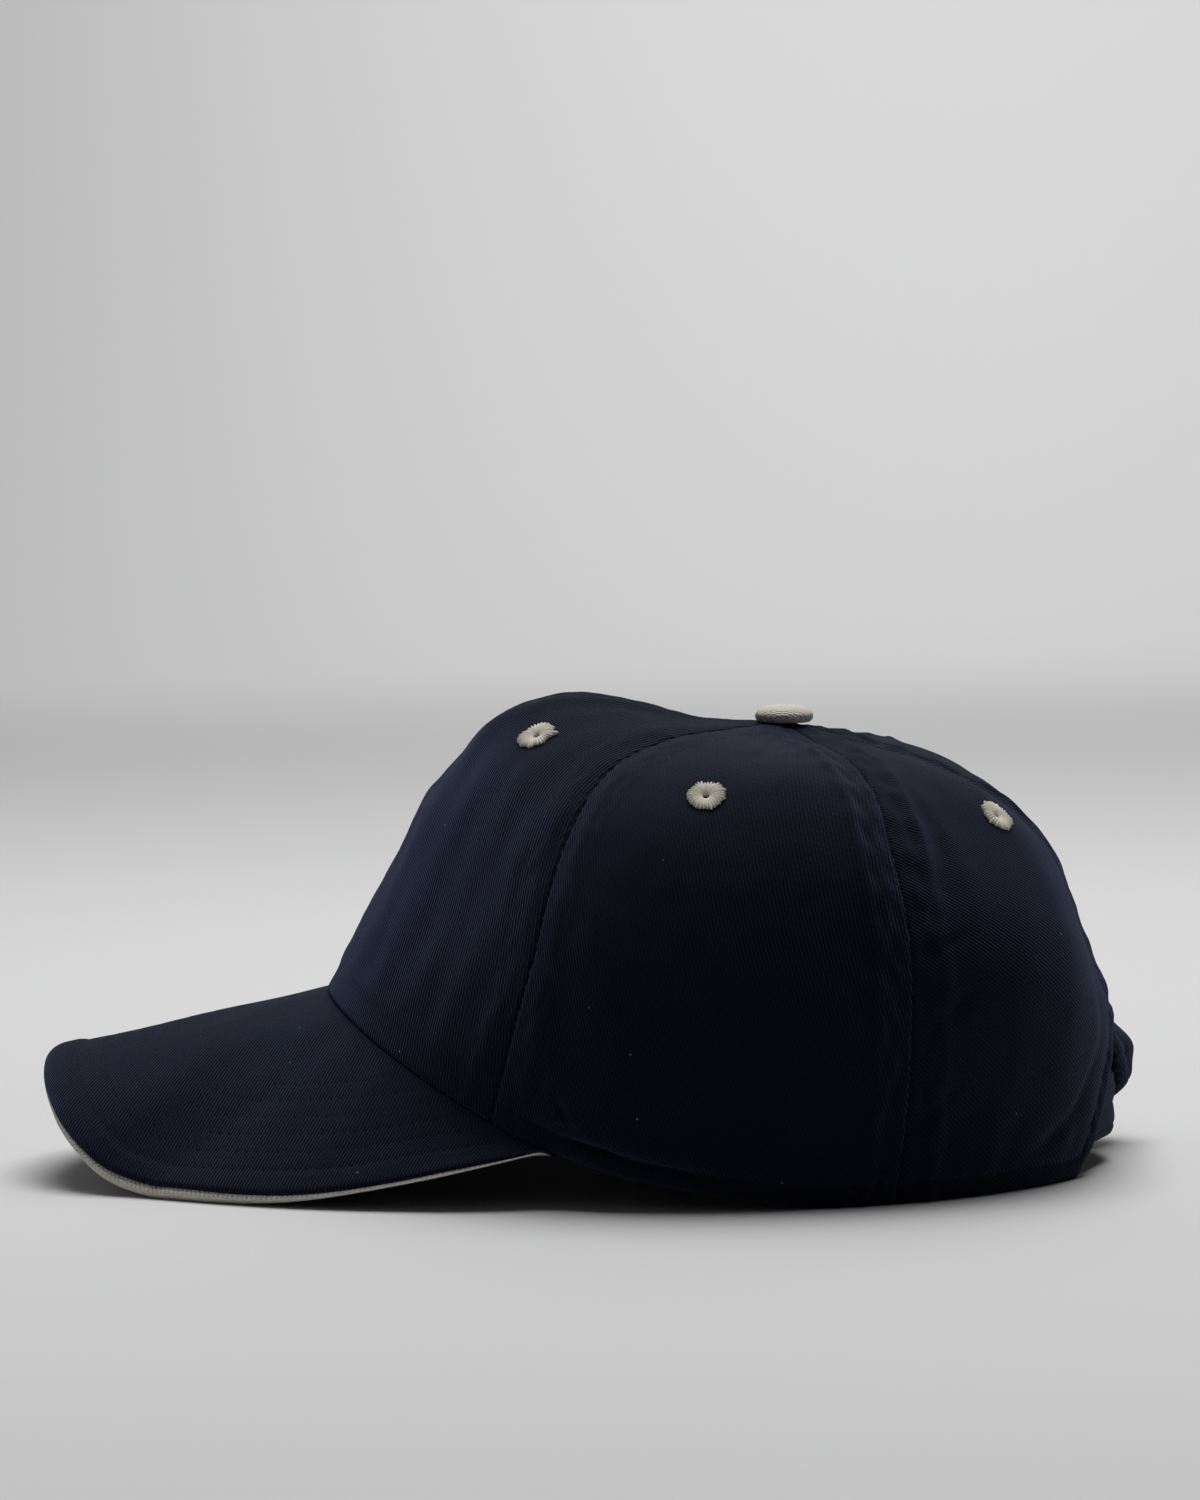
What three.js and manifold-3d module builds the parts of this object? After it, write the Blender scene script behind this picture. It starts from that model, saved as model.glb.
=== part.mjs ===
// A soft six-panel cloth cap with a curved peak, lying on a table.
// Millimetres and degrees. The wearer faces -Y, their left is +X, and +Z is up.
// Angles turn about the crown from the front (0) past the wearer's left (90) to the back (180).
// "along" runs up the crown from the rim (0) to the button (1).
import * as THREE from 'three';
import { mergeVertices } from 'three/addons/utils/BufferGeometryUtils.js';
import Module from 'manifold-3d';

const wasm = await Module();
wasm.setup();

// Rim, the ellipse that the crown stands on
const RIM_HALF_WIDTH = 80;
const RIM_HALF_LENGTH = 97.6;
const RIM_CENTRE_Y = -1.8;
const RIM_FRONT_HEIGHT = 45.4;

// Crown
const BUTTON_Y = 16.5;
const CROWN_HEIGHT = 110.3;
const FRONT_SEAM = 60;
const BACK_SEAM = 118.8;
const CLOTH = 1.2;
const SEAM_GAP = 0.3;
const TOP_HOLE_RADIUS = 2.6;
const PANEL_SWELL = 0.6;
const SEAM_SINK = 0.25;
const SEAM_RIB = 0.35;
const SEAM_RIB_OFFSET = 6;
const HEM_INSET = 0.9;
const HEM_WIDTH = 3;
const HEM_SHOULDER = 5;
const FOLD_HEIGHT = 3;

// Arch over the straps at the back
const ARCH_HALF_TURN = 23;
const ARCH_HEIGHT = 36;
const ARCH_POINT = 1.4;

// Trim
const PIECE_GAP = 0.3;
const EYELET_RADIUS = 4.7;
const EYELET_CORE = 2.9;
const EYELET_BORE = 1.5;
const EYELET_THREAD = 0.8;
const EYELET_GAP = 0.4;
const BUTTON_RADIUS = 7;
const BUTTON_HEIGHT = 4;
const BUTTON_SHANK = 1.9;
const BUTTON_LIFT = 1.3;
const BUTTON_LEAN = 6;
const SHANK_REACH = 2.4;
const BAND_HEIGHT = 26;
const BAND_RISE = 1;
const BAND_CLOTH = 1;
const INNER_GAP = 0.7;
const STRAP_WIDTH = 15;
const STRAP_RISE = 7;
const STRAP_CLOTH = 1.2;
const STRAP_OVERLAP = 24;
const STRAP_BULGE = 2.2;
const STRAP_BULGE_TURN = 9;
const STRAP_SINK_TURN = 11.4;

// Peak: its layers, from the top down, are cover, edging and under cover
const PEAK_HALF_TURN = 70;
const PEAK_HALF_WIDTH = 77.5;
const PEAK_LENGTH = 71.6;
const TOP_COVER = 1;
const EDGING = 2.4;
const EDGING_AT_CORNER = 1.1;
const CORNER_THIN = 0.55;
const UNDER_COVER = 0.8;
const LAYER_GAP = 0.45;
const EDGING_DEPTH = 6;
const EDGING_PROUD = 1.2;
const EDGING_ROUND = 0.5;
const UNDER_SETBACK = 3.4;
const UNDER_REACH = 0.96;
const TIP_SHARE = 0.6;
const EDGING_FULL_TO = 0.5;
const EDGING_THIN_FROM = 0.78;
const CORNER_FROM = 0.82;

// Seam courses from rim to button: half width, depth and height there, as shares of the rim's
// half width, of its distance from the button, and of the rise to the button
const FRONT_COURSE = [
  { along: 0.00, wide: 1.000, deep: 1.000, up: 0.000 },
  { along: 0.12, wide: 1.010, deep: 0.928, up: 0.240 },
  { along: 0.25, wide: 0.980, deep: 0.842, up: 0.510 },
  { along: 0.38, wide: 0.890, deep: 0.756, up: 0.787 },
  { along: 0.50, wide: 0.770, deep: 0.648, up: 0.985 },
  { along: 0.62, wide: 0.600, deep: 0.496, up: 1.092 },
  { along: 0.74, wide: 0.420, deep: 0.341, up: 1.075 },
  { along: 0.87, wide: 0.210, deep: 0.173, up: 1.002 },
  { along: 1.00, wide: 0.000, deep: 0.000, up: 1.000 },
];
const FRONT_SEAM_COURSE = [
  { along: 0.00, wide: 1.000, deep: 1.000, up: 0.000 },
  { along: 0.12, wide: 1.040, deep: 0.925, up: 0.199 },
  { along: 0.25, wide: 1.036, deep: 0.838, up: 0.416 },
  { along: 0.38, wide: 0.960, deep: 0.768, up: 0.630 },
  { along: 0.50, wide: 0.827, deep: 0.681, up: 0.808 },
  { along: 0.62, wide: 0.644, deep: 0.560, up: 0.923 },
  { along: 0.74, wide: 0.443, deep: 0.396, up: 0.978 },
  { along: 0.87, wide: 0.221, deep: 0.201, up: 0.992 },
  { along: 1.00, wide: 0.000, deep: 0.000, up: 1.000 },
];
const BACK_SEAM_COURSE = [
  { along: 0.00, wide: 1.000, deep: 1.000, up: 0.000 },
  { along: 0.12, wide: 1.040, deep: 1.104, up: 0.177 },
  { along: 0.25, wide: 1.071, deep: 1.175, up: 0.372 },
  { along: 0.38, wide: 1.041, deep: 1.170, up: 0.567 },
  { along: 0.50, wide: 0.949, deep: 1.050, up: 0.733 },
  { along: 0.62, wide: 0.777, deep: 0.895, up: 0.865 },
  { along: 0.74, wide: 0.548, deep: 0.655, up: 0.935 },
  { along: 0.87, wide: 0.280, deep: 0.310, up: 0.965 },
  { along: 1.00, wide: 0.000, deep: 0.000, up: 1.000 },
];
const BACK_COURSE = [
  { along: 0.00, wide: 1.000, deep: 1.000, up: 0.000 },
  { along: 0.12, wide: 0.990, deep: 1.008, up: 0.186 },
  { along: 0.25, wide: 0.970, deep: 0.990, up: 0.367 },
  { along: 0.38, wide: 0.920, deep: 0.900, up: 0.539 },
  { along: 0.50, wide: 0.830, deep: 0.820, up: 0.695 },
  { along: 0.62, wide: 0.680, deep: 0.670, up: 0.812 },
  { along: 0.74, wide: 0.480, deep: 0.465, up: 0.890 },
  { along: 0.87, wide: 0.250, deep: 0.225, up: 0.955 },
  { along: 1.00, wide: 0.000, deep: 0.000, up: 1.000 },
];

// Height of the rim above the table by angle, as a share of its height at the front
const RIM_RISE = [
  { angle: 0, up: 1.000 },
  { angle: 20, up: 0.947 },
  { angle: 40, up: 0.740 },
  { angle: 50, up: 0.599 },
  { angle: 60, up: 0.443 },
  { angle: 70, up: 0.295 },
  { angle: 80, up: 0.174 },
  { angle: 90, up: 0.101 },
  { angle: 100, up: 0.037 },
  { angle: 110, up: 0.000 },
  { angle: 180, up: 0.000 },
];

// Folds and dents: centre, spread to each side, lean in degrees per unit along, and height out,
// as a share of the fold height
const FOLDS = [
  { angle: 13, along: 0.62, turn: 6, rise: 0.20, lean: 0, out: 0.6 },
  { angle: -12, along: 0.60, turn: 7, rise: 0.20, lean: 0, out: 0.5 },
  { angle: 0, along: 0.44, turn: 18, rise: 0.06, lean: 0, out: -0.5 },
  { angle: 0, along: 0.53, turn: 18, rise: 0.05, lean: 0, out: 0.4 },
  { angle: 38, along: 0.26, turn: 12, rise: 0.16, lean: 0, out: -0.5 },
  { angle: -42, along: 0.34, turn: 12, rise: 0.18, lean: 0, out: -0.4 },
  { angle: 92, along: 0.42, turn: 16, rise: 0.20, lean: 0, out: -0.5 },
  { angle: -88, along: 0.36, turn: 16, rise: 0.18, lean: 0, out: -0.6 },
  { angle: 104, along: 0.66, turn: 10, rise: 0.08, lean: 0, out: 0.4 },
  { angle: 137, along: 0.60, turn: 15, rise: 0.18, lean: 0, out: -1.4 },
  { angle: -148, along: 0.62, turn: 14, rise: 0.14, lean: 0, out: -0.7 },
  { angle: 148, along: 0.37, turn: 18, rise: 0.08, lean: 0, out: 0.4 },
  { angle: -150, along: 0.42, turn: 14, rise: 0.09, lean: 0, out: -0.5 },
  { angle: 134, along: 0.16, turn: 9, rise: 0.12, lean: -60, out: -0.4 },
  { angle: -158, along: 0.100, turn: 8, rise: 0.036, lean: 0, out: 2.9 },
  { angle: -158, along: 0.155, turn: 8, rise: 0.036, lean: 0, out: 2.9 },
];

// Outer edge of the peak from its middle (around 0) to its corner (around 1): half width, reach
// forward of the corner and height, as shares of the half width, the reach and the rim's front height
const PEAK_EDGE = [
  { around: 0.00, wide: 0.000, forward: 1.000, up: 0.577 },
  { around: 0.10, wide: 0.226, forward: 0.986, up: 0.511 },
  { around: 0.17, wide: 0.367, forward: 0.959, up: 0.406 },
  { around: 0.23, wide: 0.475, forward: 0.926, up: 0.293 },
  { around: 0.28, wide: 0.549, forward: 0.887, up: 0.188 },
  { around: 0.33, wide: 0.607, forward: 0.841, up: 0.089 },
  { around: 0.40, wide: 0.675, forward: 0.762, up: 0.012 },
  { around: 0.52, wide: 0.795, forward: 0.620, up: 0.000 },
  { around: 0.63, wide: 0.888, forward: 0.485, up: 0.023 },
  { around: 0.79, wide: 0.968, forward: 0.281, up: 0.126 },
  { around: 0.94, wide: 0.995, forward: 0.089, up: 0.254 },
  { around: 1.00, wide: 0.968, forward: 0.012, up: 0.306 },
];

// The button's dome, as shares of its radius and height
const BUTTON_DOME = [
  { wide: 0.93, up: 0.00 },
  { wide: 1.00, up: 0.35 },
  { wide: 0.90, up: 0.68 },
  { wide: 0.60, up: 0.92 },
  { wide: 0.00, up: 1.00 },
];

// Where the mesh is sampled
const PANEL_ROWS = [0, 0.03, 0.055, 0.1, 0.16, 0.23, 0.31, 0.4, 0.48, 0.55, 0.62, 0.69, 0.77, 0.88, 1];
const PANEL_COLUMNS = [0, 0.05, 0.12, 0.22, 0.36, 0.5, 0.64, 0.78, 0.88, 0.95, 1];
const BACK_COLUMNS = [0, 0.05, 0.12, 0.22, 0.33, 0.41, 0.47, 0.54, 0.61, 0.66, 0.72, 0.81, 0.9, 0.95, 1];
const BAND_LAST_COLUMN = 4;
const STRAP_FIRST_COLUMN = 5;
const BAND_ROWS = [0, 0.25, 0.6, 1];
const STRAP_ROWS = [0, 0.35, 0.7, 1];
const STRAP_STEPS = 5;
const PEAK_STATIONS = 32;
const PEAK_ACROSS = [0, 0.2, 0.4, 0.6, 0.8];
const LATHE_SIDES = 12;
const BUTTON_SIDES = 20;
const LEVEL_SHARE = 0.12;
const NORMAL_HOLD = 0.88;
const NORMAL_STEP = 0.01;
const TURN_STEP = 0.02;
const ALONG_STEP = 0.0005;
const STEP_SHARE = 0.01;
const MERGE = 1e-5;
const SOLVE_STEPS = 40;
const SIDE_LIMIT = 0.5;
const TOP_LIMIT = 0.4;
const PUNCH_REACH = 3.6;

const toRadians = THREE.MathUtils.degToRad;
const toDegrees = THREE.MathUtils.radToDeg;
const mix = THREE.MathUtils.lerp;

// Smooth curve through unevenly spaced knots
function through(knots, values, at) {
  const last = knots.length - 1;
  let i = 0;
  while (i < last - 1 && at > knots[i + 1]) i += 1;
  const rate = (k) => (values[k + 1] - values[k]) / (knots[k + 1] - knots[k]);
  const slope = (k) => {
    if (k === 0) return rate(0);
    if (k === last) return rate(last - 1);
    const before = knots[k] - knots[k - 1];
    const after = knots[k + 1] - knots[k];
    return (rate(k - 1) * after + rate(k) * before) / (before + after);
  };
  const span = knots[i + 1] - knots[i];
  const t = (at - knots[i]) / span;
  const square = t * t;
  const cube = square * t;
  return (2 * cube - 3 * square + 1) * values[i] + (cube - 2 * square + t) * span * slope(i)
    + (3 * square - 2 * cube) * values[i + 1] + (cube - square) * span * slope(i + 1);
}

// The same for one column of a table that is mirrored about its first row, odd or even
function mirrored(table, key, column, at, odd = false) {
  const knots = table.map((row) => row[key]);
  const values = table.map((row) => row[column]);
  const sign = odd ? -1 : 1;
  return through([-knots[1], ...knots], [sign * values[1], ...values], at);
}

function rimHeight(angle) {
  return RIM_FRONT_HEIGHT * Math.max(0, mirrored(RIM_RISE, 'angle', 'up', Math.abs(angle)));
}

function rimPoint(angle) {
  const turn = toRadians(angle);
  const y = RIM_CENTRE_Y - RIM_HALF_LENGTH * Math.cos(turn);
  return new THREE.Vector3(RIM_HALF_WIDTH * Math.sin(turn), y, rimHeight(angle));
}

// The crown without its relief
const COURSES = [FRONT_COURSE, FRONT_SEAM_COURSE, BACK_SEAM_COURSE, BACK_COURSE];
const SEAM_ANGLES = [0, FRONT_SEAM, BACK_SEAM, 180];

function crownShare(column, angle, along) {
  const shares = COURSES.map((course) => through(
    course.map((row) => row.along), course.map((row) => row[column]), along));
  const knots = [-FRONT_SEAM, ...SEAM_ANGLES, 360 - BACK_SEAM];
  return through(knots, [shares[1], ...shares, shares[2]], Math.abs(angle));
}

function crownBase(angle, along) {
  const rim = rimPoint(angle);
  return new THREE.Vector3(
    rim.x * crownShare('wide', angle, along),
    BUTTON_Y + (rim.y - BUTTON_Y) * crownShare('deep', angle, along),
    rim.z + (CROWN_HEIGHT - rim.z) * crownShare('up', angle, along));
}

// Angle folded into -180 to 180
function folded(angle) {
  return angle - 360 * Math.round(angle / 360);
}

function bell(value) {
  return Math.exp(-value * value);
}

// How far the cloth stands out from the base: swollen panels, sunk seams with ribs, hem, folds
function relief(angle, along, point) {
  const turn = Math.abs(angle);
  let k = 0;
  while (k < 2 && turn > SEAM_ANGLES[k + 1]) k += 1;
  const share = (turn - SEAM_ANGLES[k]) / (SEAM_ANGLES[k + 1] - SEAM_ANGLES[k]);
  const belly = Math.max(0, 4 * along * (1 - along));
  const reach = Math.hypot(point.x, point.y - BUTTON_Y);
  const nearest = Math.min(turn - SEAM_ANGLES[k], SEAM_ANGLES[k + 1] - turn);
  const distance = toRadians(nearest) * reach;
  const seam = SEAM_RIB * bell((distance - SEAM_RIB_OFFSET) / (SEAM_RIB_OFFSET / 2))
    - SEAM_SINK * bell(distance / (SEAM_RIB_OFFSET / 2));
  const above = point.z - rimHeight(angle);
  const hem = HEM_INSET * (1 - THREE.MathUtils.smoothstep(above, HEM_WIDTH, HEM_WIDTH + HEM_SHOULDER));
  const folds = FOLDS.reduce((sum, fold) => {
    const across = (folded(angle - fold.angle) - fold.lean * (along - fold.along)) / fold.turn;
    return sum + fold.out * FOLD_HEIGHT * bell(across) * bell((along - fold.along) / fold.rise);
  }, 0);
  return (PANEL_SWELL * Math.sin(Math.PI * share) + seam) * belly - hem + folds;
}

// Direction out of the cloth, level at the rim so that the rim's edge stays flat
function crownOut(angle, along) {
  const low = Math.max(0, along - ALONG_STEP);
  const up = crownBase(angle, along + ALONG_STEP).sub(crownBase(angle, low));
  const ahead = crownBase(folded(angle + TURN_STEP), along);
  const out = ahead.sub(crownBase(folded(angle - TURN_STEP), along)).cross(up).normalize();
  out.z *= THREE.MathUtils.smoothstep(along, 0, LEVEL_SHARE);
  return out.normalize();
}

// A point of the crown, "depth" under its outer face
function crownPoint(angle, along, depth = 0) {
  const base = crownBase(angle, along);
  const out = crownOut(angle, along);
  return base.addScaledVector(out, relief(angle, along, base) - depth);
}

// The same on the crown without its relief
function plainPoint(angle, along, depth) {
  return crownBase(angle, along).addScaledVector(crownOut(angle, along), -depth);
}

// The value of along where a rising measure of the crown reaches a target
function solveAlong(measure, target, low = 0, high = 1) {
  for (let step = 0; step < SOLVE_STEPS; step += 1) {
    const middle = (low + high) / 2;
    if (measure(middle) < target) low = middle;
    else high = middle;
  }
  return (low + high) / 2;
}

function alongAtHeight(angle, height) {
  return solveAlong((along) => crownBase(angle, along).z, height, 0, SIDE_LIMIT);
}

function alongAtReach(angle, reach) {
  const inwards = (along) => {
    const point = crownBase(angle, along);
    return -Math.hypot(point.x, point.y - BUTTON_Y);
  };
  return solveAlong(inwards, -reach, TOP_LIMIT, 1);
}

// A closed solid from sections in order; each has points over it and as many under it
function band(sections, closed = false) {
  const count = sections[0].over.length;
  const ring = 2 * count;
  const points = sections.flatMap(({ over, under }) => [...over, ...[...under].reverse()]);
  const faces = [];
  const steps = closed ? sections.length : sections.length - 1;
  for (let step = 0; step < steps; step += 1) {
    const here = step * ring;
    const next = ((step + 1) % sections.length) * ring;
    for (let i = 0; i < ring; i += 1) {
      const j = (i + 1) % ring;
      if (i < count) faces.push(here + i, here + j, next + j, here + i, next + j, next + i);
      else faces.push(here + i, here + j, next + i, here + j, next + j, next + i);
    }
  }
  if (!closed) {
    const end = (sections.length - 1) * ring;
    for (let i = 0; i < count - 1; i += 1) {
      const pair = ring - 1 - i;
      faces.push(i + 1, i, pair, i + 1, pair, pair - 1);
      faces.push(end + i, end + i + 1, end + pair - 1, end + i, end + pair - 1, end + pair);
    }
  }
  return outwards(points, faces);
}

// Geometry from points and faces, turned so that its faces point out
function outwards(points, faces) {
  let volume = 0;
  for (let i = 0; i < faces.length; i += 3) {
    const [a, b, c] = [points[faces[i]], points[faces[i + 1]], points[faces[i + 2]]];
    volume += a.dot(new THREE.Vector3().crossVectors(b, c));
  }
  const turned = volume < 0 ? [...faces].reverse() : faces;
  const geometry = new THREE.BufferGeometry();
  const places = points.flatMap((point) => point.toArray());
  geometry.setAttribute('position', new THREE.Float32BufferAttribute(places, 3));
  geometry.setIndex(turned);
  return geometry;
}

// Turned solids: a profile of radius and height pairs, round the axis at a place
function spun(profile, sides, place) {
  const geometry = new THREE.LatheGeometry(profile.map(([r, h]) => new THREE.Vector2(r, h)), sides);
  geometry.rotateX(Math.PI / 2);
  geometry.applyMatrix4(place);
  geometry.deleteAttribute('normal');
  geometry.deleteAttribute('uv');
  const merged = mergeVertices(geometry, MERGE);
  const position = merged.getAttribute('position');
  const points = [];
  for (let i = 0; i < position.count; i += 1) {
    points.push(new THREE.Vector3().fromBufferAttribute(position, i));
  }
  const index = Array.from(merged.getIndex().array);
  const kept = [];
  for (let i = 0; i < index.length; i += 3) {
    const [a, b, c] = index.slice(i, i + 3);
    if (a !== b && b !== c && c !== a) kept.push(a, b, c);
  }
  return outwards(points, kept);
}

// Axis +Z at the origin carried to a point and a direction
function placeAt(point, direction) {
  const turn = new THREE.Quaternion().setFromUnitVectors(new THREE.Vector3(0, 0, 1), direction);
  return new THREE.Matrix4().compose(point, turn, new THREE.Vector3(1, 1, 1));
}

function toSolid(geometry) {
  const merged = mergeVertices(geometry, MERGE);
  return new wasm.Manifold(new wasm.Mesh({
    numProp: 3,
    vertProperties: new Float32Array(merged.getAttribute('position').array),
    triVerts: new Uint32Array(merged.getIndex().array),
  }));
}

function fromSolid(solid) {
  const mesh = solid.getMesh();
  const geometry = new THREE.BufferGeometry();
  const places = new Float32Array(mesh.vertProperties);
  geometry.setAttribute('position', new THREE.BufferAttribute(places, 3));
  geometry.setIndex(Array.from(mesh.triVerts));
  return geometry;
}

// Crown panels

// The seam trims each panel by half the gap, measured square to the seam
function trimAngle(seamAngle, along) {
  const ahead = crownBase(folded(seamAngle + TURN_STEP), along);
  const round = ahead.sub(crownBase(folded(seamAngle - TURN_STEP), along));
  const up = crownBase(seamAngle, along + ALONG_STEP).sub(crownBase(seamAngle, along)).normalize();
  const square = round.addScaledVector(up, -round.dot(up)).length() / (2 * TURN_STEP);
  return SEAM_GAP / 2 / square;
}

function archAlong(angle) {
  const share = (180 - Math.abs(angle)) / ARCH_HALF_TURN;
  if (share >= 1) return 0;
  return alongAtHeight(180, ARCH_HEIGHT) * (1 - share * share) ** ARCH_POINT;
}

function panelAngles(side, from, to, share, along) {
  const start = from + trimAngle(from, along);
  const end = to - trimAngle(to, along);
  return side * mix(start, end, share);
}

function panel(side, from, to, columns) {
  const sections = columns.map((share) => {
    const nominal = side * mix(from, to, share);
    const low = archAlong(nominal);
    const high = alongAtReach(nominal, TOP_HOLE_RADIUS);
    const rows = PANEL_ROWS.map((row) => {
      const along = mix(low, high, row);
      return { along, angle: panelAngles(side, from, to, share, along) };
    });
    return {
      over: rows.map(({ angle, along }) => crownPoint(angle, along)),
      under: rows.map(({ angle, along }) => crownPoint(angle, along, CLOTH)),
    };
  });
  return band(sections);
}

// Where an eyelet sits on its panel's outer face, and the way it faces
function eyeletSeat(angle, reach, panelGeometry) {
  const along = alongAtReach(angle, reach);
  const point = crownPoint(angle, along);
  const up = crownPoint(angle, along + ALONG_STEP).sub(point);
  const round = crownPoint(angle + TURN_STEP, along).sub(point);
  const out = round.cross(up).normalize();
  const start = point.clone().addScaledVector(out, EYELET_RADIUS);
  const ray = new THREE.Raycaster(start, out.clone().negate());
  const hits = ray.intersectObject(new THREE.Mesh(panelGeometry, new THREE.MeshBasicMaterial()));
  return placeAt(hits.length ? hits[0].point : point, out);
}

// Stitched ring on the outer face, with its inside turned through the hole
function eyelet(place) {
  const top = EYELET_GAP + EYELET_THREAD;
  const bottom = -CLOTH - PIECE_GAP;
  const lip = EYELET_RADIUS - EYELET_THREAD / 2;
  const core = EYELET_CORE - PIECE_GAP;
  return spun([
    [EYELET_BORE, bottom], [core, bottom], [core, EYELET_GAP], [EYELET_RADIUS, EYELET_GAP],
    [lip, top], [EYELET_BORE, top], [EYELET_BORE, bottom],
  ], LATHE_SIDES, place);
}

function pierced(panelGeometry, place) {
  const low = -PUNCH_REACH;
  const wall = [[EYELET_CORE, low], [EYELET_CORE, PUNCH_REACH]];
  const punch = spun([[0, low], ...wall, [0, PUNCH_REACH]], LATHE_SIDES, place);
  return fromSolid(toSolid(panelGeometry).subtract(toSolid(punch)));
}

// Button, leaning with the crown's top
function button() {
  const ahead = crownPoint(0, alongAtReach(0, BUTTON_RADIUS));
  const behind = crownPoint(180, alongAtReach(180, BUTTON_RADIUS));
  const slope = behind.clone().sub(ahead);
  const across = new THREE.Vector3(1, 0, 0);
  const axis = across.clone().cross(slope).normalize();
  axis.applyAxisAngle(across, toRadians(BUTTON_LEAN));
  const seat = ahead.clone().lerp(behind, 0.5);
  const dome = BUTTON_DOME.map(({ wide, up }) => (
    [BUTTON_RADIUS * wide, BUTTON_LIFT + BUTTON_HEIGHT * up]));
  const shank = [[0, -SHANK_REACH], [BUTTON_SHANK, -SHANK_REACH], [BUTTON_SHANK, BUTTON_LIFT]];
  return spun([...shank, ...dome], BUTTON_SIDES, placeAt(seat, axis));
}

// Band inside the rim, from one end of the arch round the front to the other
function sweatband() {
  const turns = [];
  const add = (from, to, columns) => {
    for (const share of columns) {
      const angle = mix(from, to, share);
      if (!turns.includes(angle)) turns.push(angle);
    }
  };
  add(0, FRONT_SEAM, PANEL_COLUMNS);
  add(FRONT_SEAM, BACK_SEAM, PANEL_COLUMNS);
  add(BACK_SEAM, 180, BACK_COLUMNS.slice(0, BAND_LAST_COLUMN + 1));
  const angles = [...turns.slice(1).map((angle) => -angle).reverse(), ...turns];
  const inset = CLOTH + INNER_GAP;
  return band(angles.map((angle) => {
    const low = rimHeight(angle) + BAND_RISE;
    const rows = BAND_ROWS.map((row) => alongAtHeight(angle, low + (BAND_HEIGHT - BAND_RISE) * row));
    return {
      over: rows.map((along) => crownPoint(angle, along, inset)),
      under: rows.map((along) => crownPoint(angle, along, inset + BAND_CLOTH)),
    };
  }));
}

// Straps under the arch: the left one lies outside, and the right one passes in under its end
function strap(side, isOuter) {
  const root = mix(BACK_SEAM, 180, BACK_COLUMNS[STRAP_FIRST_COLUMN]);
  const tail = 180 + toDegrees(STRAP_OVERLAP / 2 / RIM_HALF_WIDTH);
  const early = BACK_COLUMNS.slice(STRAP_FIRST_COLUMN).map((share) => mix(BACK_SEAM, 180, share));
  const late = Array.from({ length: STRAP_STEPS }, (_, i) => mix(180, tail, (i + 1) / STRAP_STEPS));
  const sink = isOuter ? 0 : STRAP_CLOTH + PIECE_GAP;
  return band([...early, ...late].map((turn) => {
    const angle = folded(side * turn);
    const under = sink * THREE.MathUtils.smoothstep(turn, root, root + STRAP_SINK_TURN);
    const bulge = STRAP_BULGE * bell((turn - 180) / STRAP_BULGE_TURN);
    const inset = CLOTH + INNER_GAP + under - bulge;
    const rows = STRAP_ROWS.map((row) => alongAtHeight(angle, STRAP_RISE + STRAP_WIDTH * row));
    return {
      over: rows.map((along) => plainPoint(angle, along, inset)),
      under: rows.map((along) => plainPoint(angle, along, inset + STRAP_CLOTH)),
    };
  }));
}

// Peak

// Heights of the layers over the peak's lower face, thinner towards the corners
function peakLevels(around) {
  const turn = Math.abs(around);
  const full = 1 - THREE.MathUtils.smoothstep(turn, EDGING_FULL_TO, EDGING_THIN_FROM);
  const thin = mix(1, CORNER_THIN, THREE.MathUtils.smoothstep(turn, CORNER_FROM, 1));
  const underTop = UNDER_COVER * thin;
  const edgingLow = underTop + LAYER_GAP * thin;
  const edgingHigh = edgingLow + mix(EDGING_AT_CORNER, EDGING, full) * thin;
  const coverLow = edgingHigh + LAYER_GAP * thin;
  return { underTop, edgingLow, edgingHigh, coverLow, top: coverLow + TOP_COVER * thin };
}

// One cut across the peak at a share of its half turn, from the crown's inside to the outer edge
function peakSection(around) {
  const angle = around * PEAK_HALF_TURN;
  const seam = rimPoint(angle);
  seam.z -= PIECE_GAP;
  const inset = CLOTH + INNER_GAP + BAND_CLOTH + HEM_INSET;
  const inside = seam.clone().addScaledVector(crownOut(angle, 0), -inset);
  const edge = peakEdge(around);
  const width = edge.distanceTo(seam);
  const up = peakNormal(around);
  const levels = peakLevels(around);
  const fit = Math.min(1, TIP_SHARE * width / EDGING_DEPTH);
  const fromEdge = (distance) => 1 - distance * fit / width;
  const at = (share, height) => {
    const point = share < 0 ? inside.clone() : seam.clone().lerp(edge, share);
    const anchor = mix(levels.top, levels.edgingLow, Math.max(0, share));
    point.addScaledVector(up, height - anchor);
    point.z = Math.max(0, point.z);
    return point;
  };
  return { at, fromEdge, levels };
}

function peakEdge(around) {
  const turn = Math.abs(around);
  const corner = rimPoint(PEAK_HALF_TURN).y;
  const front = rimPoint(0).y - PEAK_LENGTH;
  const wide = mirrored(PEAK_EDGE, 'around', 'wide', turn, true);
  const forward = mirrored(PEAK_EDGE, 'around', 'forward', turn);
  const up = Math.max(0, mirrored(PEAK_EDGE, 'around', 'up', turn));
  return new THREE.Vector3(
    Math.sign(around) * PEAK_HALF_WIDTH * wide,
    mix(corner, front, forward),
    RIM_FRONT_HEIGHT * up);
}

// The way up out of the peak, taken halfway across it and held near the corners
function peakNormal(around) {
  const held = THREE.MathUtils.clamp(around, -NORMAL_HOLD, NORMAL_HOLD);
  const half = (share) => rimPoint(share * PEAK_HALF_TURN).lerp(peakEdge(share), 0.5);
  const round = half(held + NORMAL_STEP).sub(half(held - NORMAL_STEP));
  const across = peakEdge(held).sub(rimPoint(held * PEAK_HALF_TURN));
  const up = round.cross(across).normalize();
  return up.z < 0 ? up.negate() : up;
}

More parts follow.
